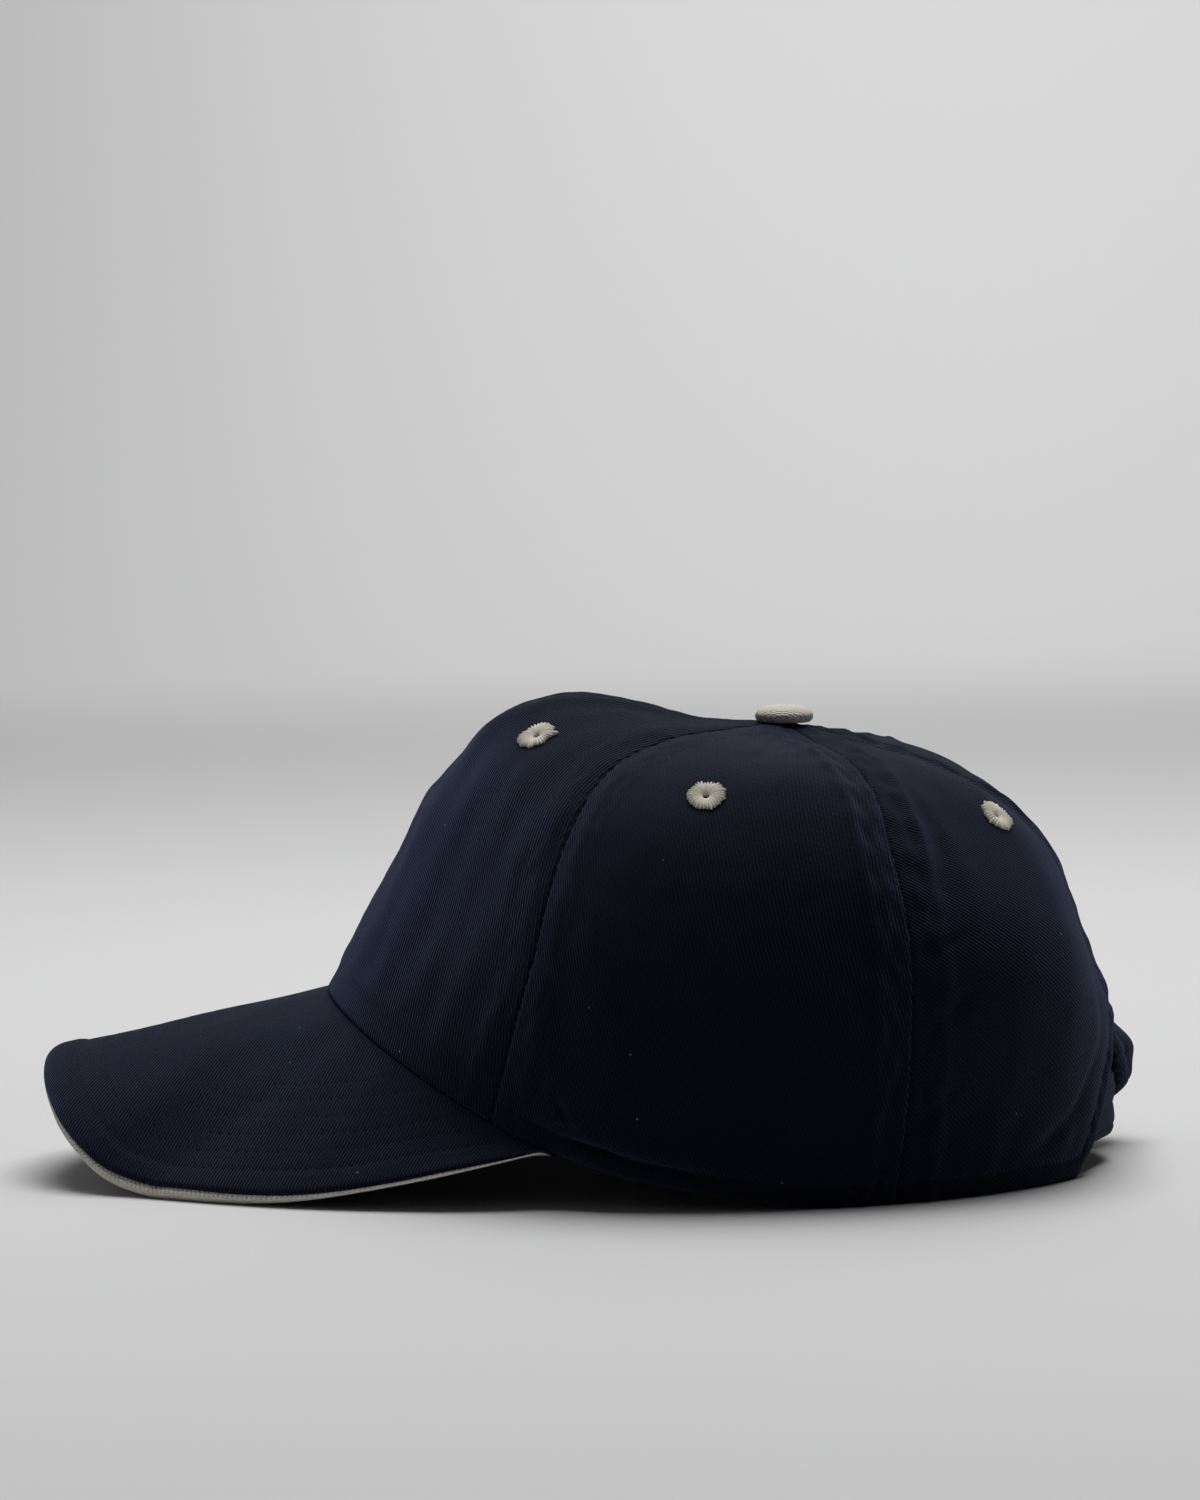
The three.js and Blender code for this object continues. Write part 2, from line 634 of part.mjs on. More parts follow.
function peakPiece(profile, reach = 1) {
  const sections = [];
  for (let i = 0; i <= PEAK_STATIONS; i += 1) {
    const { at, fromEdge, levels } = peakSection(reach * mix(-1, 1, i / PEAK_STATIONS));
    const rows = profile(fromEdge, levels);
    sections.push({
      over: rows.map(([share, over]) => at(share, over)),
      under: rows.map(([share, , under]) => at(share, under)),
    });
  }
  return band(sections);
}

// Profiles across the peak: share of the way to the edge, height of the upper and lower face
function topCoverProfile(fromEdge, { top, edgingLow, coverLow }) {
  const root = fromEdge(EDGING_DEPTH + LAYER_GAP);
  const rim = fromEdge(EDGING_PROUD);
  return [
    [-1, top, edgingLow],
    ...PEAK_ACROSS.map((share) => [share * root, top, edgingLow]),
    [root, top, edgingLow],
    [mix(root, rim, STEP_SHARE), top, coverLow],
    [(root + rim) / 2, top, coverLow],
    [rim, top - EDGING_ROUND, coverLow],
  ];
}

function edgingProfile(fromEdge, { edgingHigh, edgingLow }) {
  const back = fromEdge(EDGING_DEPTH);
  const middle = (fromEdge(EDGING_DEPTH + LAYER_GAP) + fromEdge(EDGING_PROUD)) / 2;
  const round = Math.min(EDGING_ROUND, (edgingHigh - edgingLow) / 3);
  return [
    [back, edgingHigh, edgingLow],
    [middle, edgingHigh, edgingLow],
    [fromEdge(EDGING_ROUND), edgingHigh, edgingLow],
    [1, edgingHigh - round, edgingLow + round],
  ];
}

function underCoverProfile(fromEdge, { underTop }) {
  const root = fromEdge(EDGING_DEPTH + LAYER_GAP);
  const rim = fromEdge(UNDER_SETBACK);
  return [
    [-1, underTop, 0],
    ...PEAK_ACROSS.map((share) => [share * root, underTop, 0]),
    [root, underTop, 0],
    [(root + rim) / 2, underTop, 0],
    [rim, underTop, EDGING_ROUND * underTop],
  ];
}

// Materials
const navyTwill = new THREE.MeshStandardMaterial({ color: 0x1a1c29, roughness: 0.92, metalness: 0 });
const creamTwill = new THREE.MeshStandardMaterial({ color: 0xafa89d, roughness: 0.88, metalness: 0 });
const creamThread = new THREE.MeshStandardMaterial({ color: 0xb9b4a6, roughness: 0.7, metalness: 0 });
const innerBand = new THREE.MeshStandardMaterial({ color: 0x14151e, roughness: 0.9, metalness: 0 });

const cap = new THREE.Group();

function add(name, geometry, material) {
  const mesh = new THREE.Mesh(geometry, material);
  mesh.name = name;
  cap.add(mesh);
}

const SIDES = [
  { name: 'left', side: 1, eyeletReach: [65, 62, 62.5] },
  { name: 'right', side: -1, eyeletReach: [65, 62, 68] },
];
const PANELS = [
  { name: 'front', from: 0, to: FRONT_SEAM, columns: PANEL_COLUMNS },
  { name: 'side', from: FRONT_SEAM, to: BACK_SEAM, columns: PANEL_COLUMNS },
  { name: 'back', from: BACK_SEAM, to: 180, columns: BACK_COLUMNS },
];

for (const [index, { name, from, to, columns }] of PANELS.entries()) {
  for (const { name: sideName, side, eyeletReach } of SIDES) {
    const whole = panel(side, from, to, columns);
    const seat = eyeletSeat(side * (from + to) / 2, eyeletReach[index], whole);
    add(`panel_${name}_${sideName}`, pierced(whole, seat), navyTwill);
    add(`eyelet_${name}_${sideName}`, eyelet(seat), creamThread);
  }
}
add('top_button', button(), creamTwill);
add('sweatband', sweatband(), innerBand);
add('strap_left', strap(1, true), navyTwill);
add('strap_right', strap(-1, false), navyTwill);
add('peak_top_cover', peakPiece(topCoverProfile), navyTwill);
add('peak_edging', peakPiece(edgingProfile), creamTwill);
add('peak_under_cover', peakPiece(underCoverProfile, UNDER_REACH), navyTwill);

// The origin is on the table under the middle of the whole cap
const extent = new THREE.Box3().setFromObject(cap);
cap.position.y = -(extent.min.y + extent.max.y) / 2;

export default cap;
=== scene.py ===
"""A soft six-panel cloth cap with a curved peak, on a pale table: fine shapes, cloth, light and camera."""

import math
import random

import bpy
import numpy as np
from mathutils import Matrix, Vector


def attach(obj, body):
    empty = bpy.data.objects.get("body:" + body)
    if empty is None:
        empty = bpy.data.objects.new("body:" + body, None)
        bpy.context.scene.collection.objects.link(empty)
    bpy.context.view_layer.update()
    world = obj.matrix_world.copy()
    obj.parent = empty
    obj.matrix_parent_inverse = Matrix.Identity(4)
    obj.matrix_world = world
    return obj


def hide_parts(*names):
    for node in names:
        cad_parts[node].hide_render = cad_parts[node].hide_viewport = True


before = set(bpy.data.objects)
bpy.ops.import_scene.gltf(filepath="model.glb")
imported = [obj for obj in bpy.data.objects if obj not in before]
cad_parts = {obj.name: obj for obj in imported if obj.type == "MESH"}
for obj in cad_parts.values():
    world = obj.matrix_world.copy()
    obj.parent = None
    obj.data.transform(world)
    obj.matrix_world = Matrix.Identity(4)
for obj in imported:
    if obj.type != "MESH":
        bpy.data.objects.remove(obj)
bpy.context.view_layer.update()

# Shapes are worked out in millimetres and degrees in the cap's own frame: the wearer faces -Y,
# their left is +X, and the head opening is centred on the origin. The model lies a little behind it.
CAP_SHIFT_Y = 35.065

# Crown
RIM_HALF_WIDTH = 80
RIM_HALF_LENGTH = 97.6
RIM_CENTRE_Y = -1.8
RIM_FRONT_HEIGHT = 45.4
BUTTON_Y = 16.5
CROWN_HEIGHT = 110.3
FRONT_SEAM = 60
BACK_SEAM = 118.8
CLOTH = 1.2
TOP_HOLE_RADIUS = 2.6
PANEL_SWELL = 0.6
SEAM_SINK = 0.25
SEAM_RIB = 0.35
SEAM_RIB_OFFSET = 6
HEM_INSET = 0.9
HEM_WIDTH = 3
HEM_SHOULDER = 5
FOLD_HEIGHT = 3
ARCH_HALF_TURN = 23
ARCH_HEIGHT = 36
ARCH_POINT = 1.4
SEAM_ANGLES = (0, FRONT_SEAM, BACK_SEAM, 180)

# Trim
PIECE_GAP = 0.3
BUTTON_RADIUS = 7
BUTTON_HEIGHT = 4
BUTTON_LIFT = 1.3
BUTTON_LEAN = 6
BAND_HEIGHT = 26
BAND_RISE = 1
BAND_CLOTH = 1
BAND_HALF_TURN = 139
INNER_GAP = 0.7
STRAP_WIDTH = 15
STRAP_RISE = 7
STRAP_CLOTH = 1.2
STRAP_OVERLAP = 24
STRAP_ROOT = 143.9
STRAP_SINK_TURN = 11.4
STRAP_BULGE = 2.2
STRAP_BULGE_TURN = 9

# Peak
PEAK_HALF_TURN = 70
PEAK_HALF_WIDTH = 77.5
PEAK_LENGTH = 71.6
TOP_COVER = 1
EDGING = 2.4
EDGING_AT_CORNER = 1.1
EDGING_FULL_TO = 0.5
EDGING_THIN_FROM = 0.78
CORNER_FROM = 0.82
CORNER_THIN = 0.55
UNDER_COVER = 0.8
LAYER_GAP = 0.45
EDGING_DEPTH = 6
EDGING_PROUD = 1.2
UNDER_SETBACK = 3.4
UNDER_REACH = 0.96
TIP_SHARE = 0.6

# Courses from rim to button at the front, the front seam, the back seam and the back, as shares of
# the rim's half width, of its distance from the button and of the rise to the button
ALONG = (0, 0.12, 0.25, 0.38, 0.5, 0.62, 0.74, 0.87, 1)
COURSES = {
    "wide": (
        (1, 1.01, 0.98, 0.89, 0.77, 0.6, 0.42, 0.21, 0),
        (1, 1.04, 1.036, 0.96, 0.827, 0.644, 0.443, 0.221, 0),
        (1, 1.04, 1.071, 1.041, 0.949, 0.777, 0.548, 0.28, 0),
        (1, 0.99, 0.97, 0.92, 0.83, 0.68, 0.48, 0.25, 0),
    ),
    "deep": (
        (1, 0.928, 0.842, 0.756, 0.648, 0.496, 0.341, 0.173, 0),
        (1, 0.925, 0.838, 0.768, 0.681, 0.56, 0.396, 0.201, 0),
        (1, 1.104, 1.175, 1.17, 1.05, 0.895, 0.655, 0.31, 0),
        (1, 1.008, 0.99, 0.9, 0.82, 0.67, 0.465, 0.225, 0),
    ),
    "up": (
        (0, 0.24, 0.51, 0.787, 0.985, 1.092, 1.075, 1.002, 1),
        (0, 0.199, 0.416, 0.63, 0.808, 0.923, 0.978, 0.992, 1),
        (0, 0.177, 0.372, 0.567, 0.733, 0.865, 0.935, 0.965, 1),
        (0, 0.186, 0.367, 0.539, 0.695, 0.812, 0.89, 0.955, 1),
    ),
}
RIM_RISE = {
    "angle": (0, 20, 40, 50, 60, 70, 80, 90, 100, 110, 180),
    "up": (1, 0.947, 0.74, 0.599, 0.443, 0.295, 0.174, 0.101, 0.037, 0, 0),
}

# Large folds: angle, along, spread round, spread up, lean, and height as a share of the fold height
FOLDS = (
    (13, 0.62, 6, 0.2, 0, 0.6), (-12, 0.6, 7, 0.2, 0, 0.5), (0, 0.44, 18, 0.06, 0, -0.5),
    (0, 0.53, 18, 0.05, 0, 0.4), (38, 0.26, 12, 0.16, 0, -0.5), (-42, 0.34, 12, 0.18, 0, -0.4),
    (92, 0.42, 16, 0.2, 0, -0.5), (-88, 0.36, 16, 0.18, 0, -0.6), (104, 0.66, 10, 0.08, 0, 0.4),
    (137, 0.6, 15, 0.18, 0, -1.4), (-148, 0.62, 14, 0.14, 0, -0.7), (148, 0.37, 18, 0.08, 0, 0.4),
    (-150, 0.42, 14, 0.09, 0, -0.5), (134, 0.16, 9, 0.12, -60, -0.4), (-158, 0.1, 8, 0.036, 0, 2.9),
    (-158, 0.155, 8, 0.036, 0, 2.9),
)

# Peak's outer edge from its middle to its corner
PEAK_EDGE = {
    "around": (0, 0.10, 0.17, 0.23, 0.28, 0.33, 0.40, 0.52, 0.63, 0.79, 0.94, 1),
    "wide": (0, 0.226, 0.367, 0.475, 0.549, 0.607, 0.675, 0.795, 0.888, 0.968, 0.995, 0.968),
    "forward": (1, 0.986, 0.959, 0.926, 0.887, 0.841, 0.762, 0.620, 0.485, 0.281, 0.089, 0.012),
    "up": (0.577, 0.511, 0.406, 0.293, 0.188, 0.089, 0.012, 0, 0.023, 0.126, 0.254, 0.306),
}


def bell(value, at=0, width=1, height=1):
    share = (value - at) / width
    return height * np.exp(-share * share)


def ease(value, low, high):
    t = np.clip((value - low) / (high - low), 0, 1)
    return t * t * (3 - 2 * t)


def mix(a, b, share):
    return a + (b - a) * share


def unit(vectors):
    return vectors / np.linalg.norm(vectors, axis=-1, keepdims=True)


def folded(angle):
    return angle - 360 * np.round(angle / 360)


def through(knots, values, at):
    """Smooth curve through unevenly spaced knots; values has one row for each knot."""
    knots, values, at = (np.asarray(x, float) for x in (knots, values, at))
    if values.ndim == 1:
        values = np.repeat(values[:, None], at.size, axis=1)
    spans = np.diff(knots)[:, None]
    rates = np.diff(values, axis=0) / spans
    inner = (rates[:-1] * spans[1:] + rates[1:] * spans[:-1]) / (spans[1:] + spans[:-1])
    slopes = np.concatenate([rates[:1], inner, rates[-1:]])
    i = np.clip(np.searchsorted(knots, at) - 1, 0, len(knots) - 2)
    n = np.arange(at.size)
    span = spans[i, 0]
    t = (at - knots[i]) / span
    square, cube = t * t, t * t * t
    start = (2 * cube - 3 * square + 1) * values[i, n] + (cube - 2 * square + t) * span * slopes[i, n]
    end = (3 * square - 2 * cube) * values[i + 1, n] + (cube - square) * span * slopes[i + 1, n]
    return start + end


def mirrored(table, key, column, at, sign=1):
    """The same for a table that is mirrored about its first row."""
    knots, values = table[key], table[column]
    return through((-knots[1], *knots), (sign * values[1], *values), at)


def rim_height(angle):
    return RIM_FRONT_HEIGHT * np.maximum(0, mirrored(RIM_RISE, "angle", "up", np.abs(angle)))


def rim_point(angle):
    turn = np.radians(angle)
    y = RIM_CENTRE_Y - RIM_HALF_LENGTH * np.cos(turn)
    return np.stack([RIM_HALF_WIDTH * np.sin(turn), y, rim_height(angle)], -1)


def crown_share(column, angle, along):
    shares = [through(ALONG, course, along) for course in COURSES[column]]
    knots = (-FRONT_SEAM, *SEAM_ANGLES, 360 - BACK_SEAM)
    return through(knots, [shares[1], *shares, shares[2]], np.abs(angle))


def crown_base(angle, along):
    rim = rim_point(angle)
    x = rim[:, 0] * crown_share("wide", angle, along)
    y = BUTTON_Y + (rim[:, 1] - BUTTON_Y) * crown_share("deep", angle, along)
    z = rim[:, 2] + (CROWN_HEIGHT - rim[:, 2]) * crown_share("up", angle, along)
    return np.stack([x, y, z], -1)


def button_reach(points):
    return np.hypot(points[:, 0], points[:, 1] - BUTTON_Y)


def relief(angle, along, point):
    """How far the cloth stands out from the base: swollen panels, seams, hem and large folds."""
    turn = np.abs(angle)
    panel = np.clip(np.searchsorted(SEAM_ANGLES, turn) - 1, 0, 2)
    low, high = np.take(SEAM_ANGLES, panel), np.take(SEAM_ANGLES, panel + 1)
    share = (turn - low) / (high - low)
    belly = np.maximum(0, 4 * along * (1 - along))
    distance = np.radians(np.minimum(turn - low, high - turn)) * button_reach(point)
    half = SEAM_RIB_OFFSET / 2
    seam = SEAM_RIB * bell(distance, SEAM_RIB_OFFSET, half) - SEAM_SINK * bell(distance, 0, half)
    above = point[:, 2] - rim_height(angle)
    hem = HEM_INSET * (1 - ease(above, HEM_WIDTH, HEM_WIDTH + HEM_SHOULDER))
    folds = 0
    for at_angle, at_along, turn_spread, rise, lean, out in FOLDS:
        across = (folded(angle - at_angle) - lean * (along - at_along)) / turn_spread
        folds = folds + out * FOLD_HEIGHT * bell(across) * bell(along, at_along, rise)
    return (PANEL_SWELL * np.sin(np.pi * share) + seam) * belly - hem + folds


LEVEL_SHARE = 0.12
TURN_STEP = 0.02
ALONG_STEP = 0.0005


def crown_out(angle, along):
    """Direction out of the cloth, level at the rim."""
    up = crown_base(angle, along + ALONG_STEP) - crown_base(angle, np.maximum(0, along - ALONG_STEP))
    ahead, behind = folded(angle + TURN_STEP), folded(angle - TURN_STEP)
    out = unit(np.cross(crown_base(ahead, along) - crown_base(behind, along), up))
    out[:, 2] *= ease(along, 0, LEVEL_SHARE)
    return unit(out)


def plain_point(angle, along, lift):
    """A point "lift" over the crown's base."""
    return crown_base(angle, along) + crown_out(angle, along) * np.reshape(lift, (-1, 1))


def crown_point(angle, along, lift=0):
    """A point "lift" over the cloth's outer face."""
    return plain_point(angle, along, relief(angle, along, crown_base(angle, along)) + lift)


SOLVE_STEPS = 32


def solve_along(measure, target, low=0.0, high=1.0):
    """The value of along, for each of several targets, where a rising measure reaches it."""
    low, high = np.full(len(target), low), np.full(len(target), high)
    for _ in range(SOLVE_STEPS):
        middle = (low + high) / 2
        short = measure(middle) < target
        low, high = np.where(short, middle, low), np.where(short, high, middle)
    return (low + high) / 2


def along_at_height(angle, height):
    target = height + np.zeros(len(angle))
    return solve_along(lambda along: crown_base(angle, along)[:, 2], target, 0, 0.5)


def along_at_reach(angle, reach):
    target = np.full(len(angle), -float(reach))
    return solve_along(lambda along: -button_reach(crown_base(angle, along)), target, 0.4, 1)


def arch_along(angle):
    """Where the arch over the straps is cut; 0 beside it."""
    share = np.clip((180 - np.abs(angle)) / ARCH_HALF_TURN, 0, 1)
    tall = along_at_height(np.array([180.0]), ARCH_HEIGHT)[0]
    return tall * (1 - share * share) ** ARCH_POINT


def waves(across, up, length, seed):
    """Gentle unevenness, about -1 to 1, from a few crossing ripples."""
    source = random.Random(seed)
    total = 0
    for _ in range(6):
        turn = source.uniform(0, math.pi)
        pace = 2 * math.pi / (length * source.uniform(0.7, 1.5))
        phase = source.uniform(0, 2 * math.pi)
        total = total + np.sin(pace * (across * math.cos(turn) + up * math.sin(turn)) + phase)
    return total / 4


def strip_grid(start, end, columns, rows):
    """Angle and share of the height for each point of a strip, one column after another."""
    return np.repeat(np.linspace(start, end, columns), rows), np.tile(np.linspace(0, 1, rows), columns)


def path_reach(points):
    """Distance along a path, or along each column of a grid, at each of its points."""
    steps = np.linalg.norm(np.diff(points, axis=0), axis=-1)
    return np.concatenate([np.zeros((1, *steps.shape[1:])), np.cumsum(steps, axis=0)])


def from_middle(points):
    """The same, counted from the middle point."""
    reach = path_reach(points)
    return reach - reach[len(reach) // 2]


def evenly(path, pitch, columns):
    """Columns of values, with one for each point of a path, at even distances along it."""
    reach = path_reach(path)
    count = max(2, int(round(reach[-1] / pitch)))
    at = np.linspace(0, reach[-1], count + 1)
    return [np.interp(at, reach, column) for column in columns]


# Meshes

# Millimetres of cloth to one unit of its flat places
FLAT_UNIT = 10


def to_row(points):
    """Millimetres in the cap's own frame to metres in the model's."""
    return (np.asarray(points) + (0, CAP_SHIFT_Y, 0)) / 1000


def placed(name, data):
    made = bpy.data.objects.new(name, data)
    bpy.context.scene.collection.objects.link(made)
    return made


def mesh_piece(name, points, faces, material, flat=None):
    """A smooth piece from points, faces and flat places in millimetres, riding on the cap."""
    mesh = bpy.data.meshes.new(name)
    mesh.from_pydata(to_row(points).tolist(), [], faces)
    if flat is not None:
        corners = np.zeros(len(mesh.loops), np.int32)
        mesh.loops.foreach_get("vertex_index", corners)
        layer = mesh.uv_layers.new(name="Flat")
        layer.data.foreach_set("uv", (np.asarray(flat, np.float32)[corners] / FLAT_UNIT).ravel())
    mesh.shade_smooth()
    mesh.materials.append(material)
    piece = placed(name, mesh)
    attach(piece, "root")
    return piece


def shell_faces(rows, columns, removed=None):
    """Faces of a closed shell whose outer grid comes first and its inner grid second."""
    size = rows * columns
    kept = np.zeros((rows + 1, columns + 1), bool)
    kept[1:-1, 1:-1] = True if removed is None else ~removed
    faces = []
    for i, j in np.argwhere(kept).tolist():
        c = i * columns + j
        a, b, d = c - columns - 1, c - columns, c - 1
        faces += [(a, b, c, d), (d + size, c + size, b + size, a + size)]
        for p, q, row, column in ((b, a, i - 1, j), (d, c, i + 1, j), (a, d, i, j - 1), (c, b, i, j + 1)):
            if not kept[row, column]:
                faces.append((p, q, q + size, p + size))
    return faces


def ring_faces(rings, sides, wrapped=False, first=0):
    """Faces between rings of points; wrapped joins the last ring to the first."""
    faces = []
    for ring in range(rings if wrapped else rings - 1):
        here, there = first + ring * sides, first + (ring + 1) % rings * sides
        for side in range(sides):
            beside = (side + 1) % sides
            faces.append((here + side, here + beside, there + beside, there + side))
    return faces


def outwards(points, faces):
    """The faces turned so that they point out of the closed shape."""
    sample = np.array([face[:3] for face in faces])
    a, b, c = points[sample[:, 0]], points[sample[:, 1]], points[sample[:, 2]]
    if (a * np.cross(b, c)).sum() < 0:
        return [face[::-1] for face in faces]
    return faces


def shell_piece(name, outer, inner, material, flat, removed=None):
    """A closed shell from two grids of points; flat places are for both, or for each grid in turn."""
    rows, columns = outer.shape[:2]
    points = np.concatenate([outer.reshape(-1, 3), inner.reshape(-1, 3)])
    flat = flat.reshape(-1, 2)
    if len(flat) < len(points):
        flat = np.concatenate([flat, flat])
    faces = outwards(points, shell_faces(rows, columns, removed))
    return mesh_piece(name, points, faces, material, flat)


STITCH_SIDES = 6
STITCH_STEPS = 5
STITCH_END = 0.45


def stitch_row(path, outs, share):
    """Starts, ends and directions out of stitches that each take a share of a step of a path."""
    middle = (path[:-1] + path[1:]) / 2
    half = np.diff(path, axis=0) * share / 2
    return middle - half, middle + half, unit(outs[:-1] + outs[1:])


def stitches_piece(name, rows, radius, hump):
    """Short arched threads of several rows."""
    starts, ends, outs = (np.concatenate(parts) for parts in zip(*rows))
    course = ends - starts
    aside = unit(np.cross(course, outs))
    points, faces = [], []
    for step in range(STITCH_STEPS):
        share = step / (STITCH_STEPS - 1)
        rise = math.sin(math.pi * share)
        centre = starts + course * share + outs * (hump * (2 * rise - 1))
        thick = radius * mix(STITCH_END, 1, rise)
        for side in range(STITCH_SIDES):
            turn = 2 * math.pi * side / STITCH_SIDES
            points.append(centre + (aside * math.cos(turn) + outs * math.sin(turn)) * thick)
    points = np.stack(points, 1).reshape(-1, 3)
    ring = STITCH_SIDES * STITCH_STEPS
    for stitch in range(len(starts)):
        first = stitch * ring
        tube = ring_faces(STITCH_STEPS, STITCH_SIDES, first=first)
        faces += [(a, d, c, b) for a, b, c, d in tube]
        faces.append(tuple(range(first, first + STITCH_SIDES)))
        faces.append(tuple(range(first + ring - 1, first + ring - 1 - STITCH_SIDES, -1)))
    return mesh_piece(name, points, faces, navy_thread)


# Materials

class Shader:
    """Short calls for a material's nodes."""

    def __init__(self, name):
        self.material = bpy.data.materials.new(name)
        self.material.use_nodes = True
        self.tree = self.material.node_tree
        self.surface = self.tree.nodes["Principled BSDF"]

    def node(self, kind, inputs=None, **settings):
        made = self.tree.nodes.new(kind)
        for key, value in settings.items():
            setattr(made, key, value)
        for key, value in (inputs or {}).items():
            if isinstance(value, bpy.types.NodeSocket):
                self.tree.links.new(value, made.inputs[key])
            else:
                made.inputs[key].default_value = value
        return made

    def math(self, operation, a, b=0.0, c=0.0):
        return self.node("ShaderNodeMath", {0: a, 1: b, 2: c}, operation=operation).outputs[0]

    def fused(self, value, times, plus):
        return self.math("MULTIPLY_ADD", value, times, plus)

    def summed(self, pair, x, y):
        """Sum of a pair of values, each times a number."""
        return self.fused(pair.outputs[1], y, self.math("MULTIPLY", pair.outputs[0], x))

    def wave(self, turns, middle, swing):
        """A wave about a middle, with one swing for each turn."""
        return self.fused(self.math("SINE", self.math("MULTIPLY", turns, 2 * math.pi)), swing, middle)

    def noise(self, place, scale, detail=2.0, roughness=0.5):
        inputs = {"Vector": place, "Scale": scale, "Detail": detail, "Roughness": roughness}
        return self.node("ShaderNodeTexNoise", inputs).outputs["Fac"]

    def blend(self, share, a, b):
        made = self.node("ShaderNodeMix", {0: share, 6: a, 7: b}, data_type="RGBA")
        return made.outputs[2]

    def finish(self, colour, height, depth, roughness, sheen, tint, gloss=0.04):
        bump = self.node("ShaderNodeBump", {"Height": height, "Strength": 1.0, "Distance": depth})
        self.tree.links.new(colour, self.surface.inputs["Base Color"])
        self.tree.links.new(bump.outputs[0], self.surface.inputs["Normal"])
        for key, value in (
                ("Roughness", roughness), ("Specular IOR Level", gloss), ("Specular Tint", tint),
                ("Sheen Weight", sheen), ("Sheen Roughness", SHEEN_ROUGHNESS), ("Sheen Tint", tint)):
            self.surface.inputs[key].default_value = value
        return self.material


def opaque(colour):
    return (*colour, 1.0)


SHEEN_ROUGHNESS = 0.45
CLOTH_GLOSS = 0.17
LINT_SCALE = 110.0
LINT_SIZE = 0.022
LINT = (0.30, 0.32, 0.36)


# The cloth's weave: floats over each rib, wander of the ribs, and shares of each part in the tone
FLOAT_PITCH = 2.2
FLOAT_STEP = 0.37
FLOAT_DEPTH = 0.15
WANDER_SCALE = 260.0
WANDER = 0.35
FUZZ_SCALE = 2400.0
FUZZ_HEIGHT = 0.6
MOTTLE_SCALE = 70.0
TONE_WEAVE = 0.6
TONE_FUZZ = 0.35
TONE_MOTTLE = 0.35
TONE_DROP = 0.2
CLOTH_ROUGHNESS = 0.85


def twill_material(name, dark, light, pitch, lean, depth, sheen, tint):
    """Diagonally ribbed cloth: ribs at a pitch in millimetres, leaning from the flat pattern's up."""
    shader = Shader(name)
    flat = shader.node("ShaderNodeUVMap", uv_map="Flat").outputs[0]
    place = shader.node("ShaderNodeTexCoord").outputs["Object"]
    parts = shader.node("ShaderNodeSeparateXYZ", {0: flat})
    turn = math.radians(lean)
    x, y = math.cos(turn) * FLAT_UNIT / pitch, math.sin(turn) * FLAT_UNIT / pitch
    across = shader.fused(shader.noise(place, WANDER_SCALE), WANDER, shader.summed(parts, x, y))
    along = shader.summed(parts, -y / FLOAT_PITCH, x / FLOAT_PITCH)
    along = shader.fused(shader.math("FLOOR", across), FLOAT_STEP, along)
    floats = shader.wave(along, 1 - FLOAT_DEPTH, FLOAT_DEPTH)
    weave = shader.math("MULTIPLY", shader.wave(across, 0.5, 0.5), floats)
    fuzz = shader.noise(place, FUZZ_SCALE, 3.0, 0.7)
    mottle = shader.noise(place, MOTTLE_SCALE, 4.0, 0.6)
    height = shader.fused(fuzz, FUZZ_HEIGHT, weave)
    tone = shader.fused(weave, TONE_WEAVE, shader.math("MULTIPLY", fuzz, TONE_FUZZ))
    tone = shader.fused(mottle, TONE_MOTTLE, tone)
    tone = shader.node("ShaderNodeClamp", {0: shader.math("SUBTRACT", tone, TONE_DROP)}).outputs[0]
    colour = shader.blend(tone, opaque(dark), opaque(light))
    specks = shader.node("ShaderNodeTexVoronoi", {"Vector": place, "Scale": LINT_SCALE}).outputs["Distance"]
    colour = shader.blend(shader.math("LESS_THAN", specks, LINT_SIZE), colour, opaque(LINT))
    return shader.finish(colour, height, depth, CLOTH_ROUGHNESS, sheen, opaque(tint), CLOTH_GLOSS)


def thread_material(name, dark, light, sheen=0.2):
    """Twisted sewing thread."""
    shader = Shader(name)
    place = shader.node("ShaderNodeTexCoord").outputs["Object"]
    fibre = shader.noise(place, 3500.0, 3.0, 0.7)
    mottle = shader.noise(place, 300.0, 2.0)
    tone = shader.fused(mottle, 0.4, shader.math("MULTIPLY", fibre, 0.6))
    colour = shader.blend(tone, opaque(dark), opaque(light))
    return shader.finish(colour, fibre, 0.00008, 0.7, sheen, opaque(light))


NAVY_DARK = (0.0012, 0.0014, 0.0034)
NAVY_LIGHT = (0.0070, 0.0074, 0.0150)
NAVY_SHEEN = (0.27, 0.33, 0.66)
CREAM_DARK = (0.68, 0.62, 0.52)
CREAM_LIGHT = (0.93, 0.88, 0.80)
EDGING_DARK = (0.60, 0.56, 0.48)
EDGING_LIGHT = (0.99, 0.95, 0.89)
BAND_DARK = (0.003, 0.0035, 0.008)
BAND_LIGHT = (0.014, 0.016, 0.030)
TWILL_PITCH = 0.87
TWILL_DEPTH = 0.00022
NAVY_FUZZ = 0.235

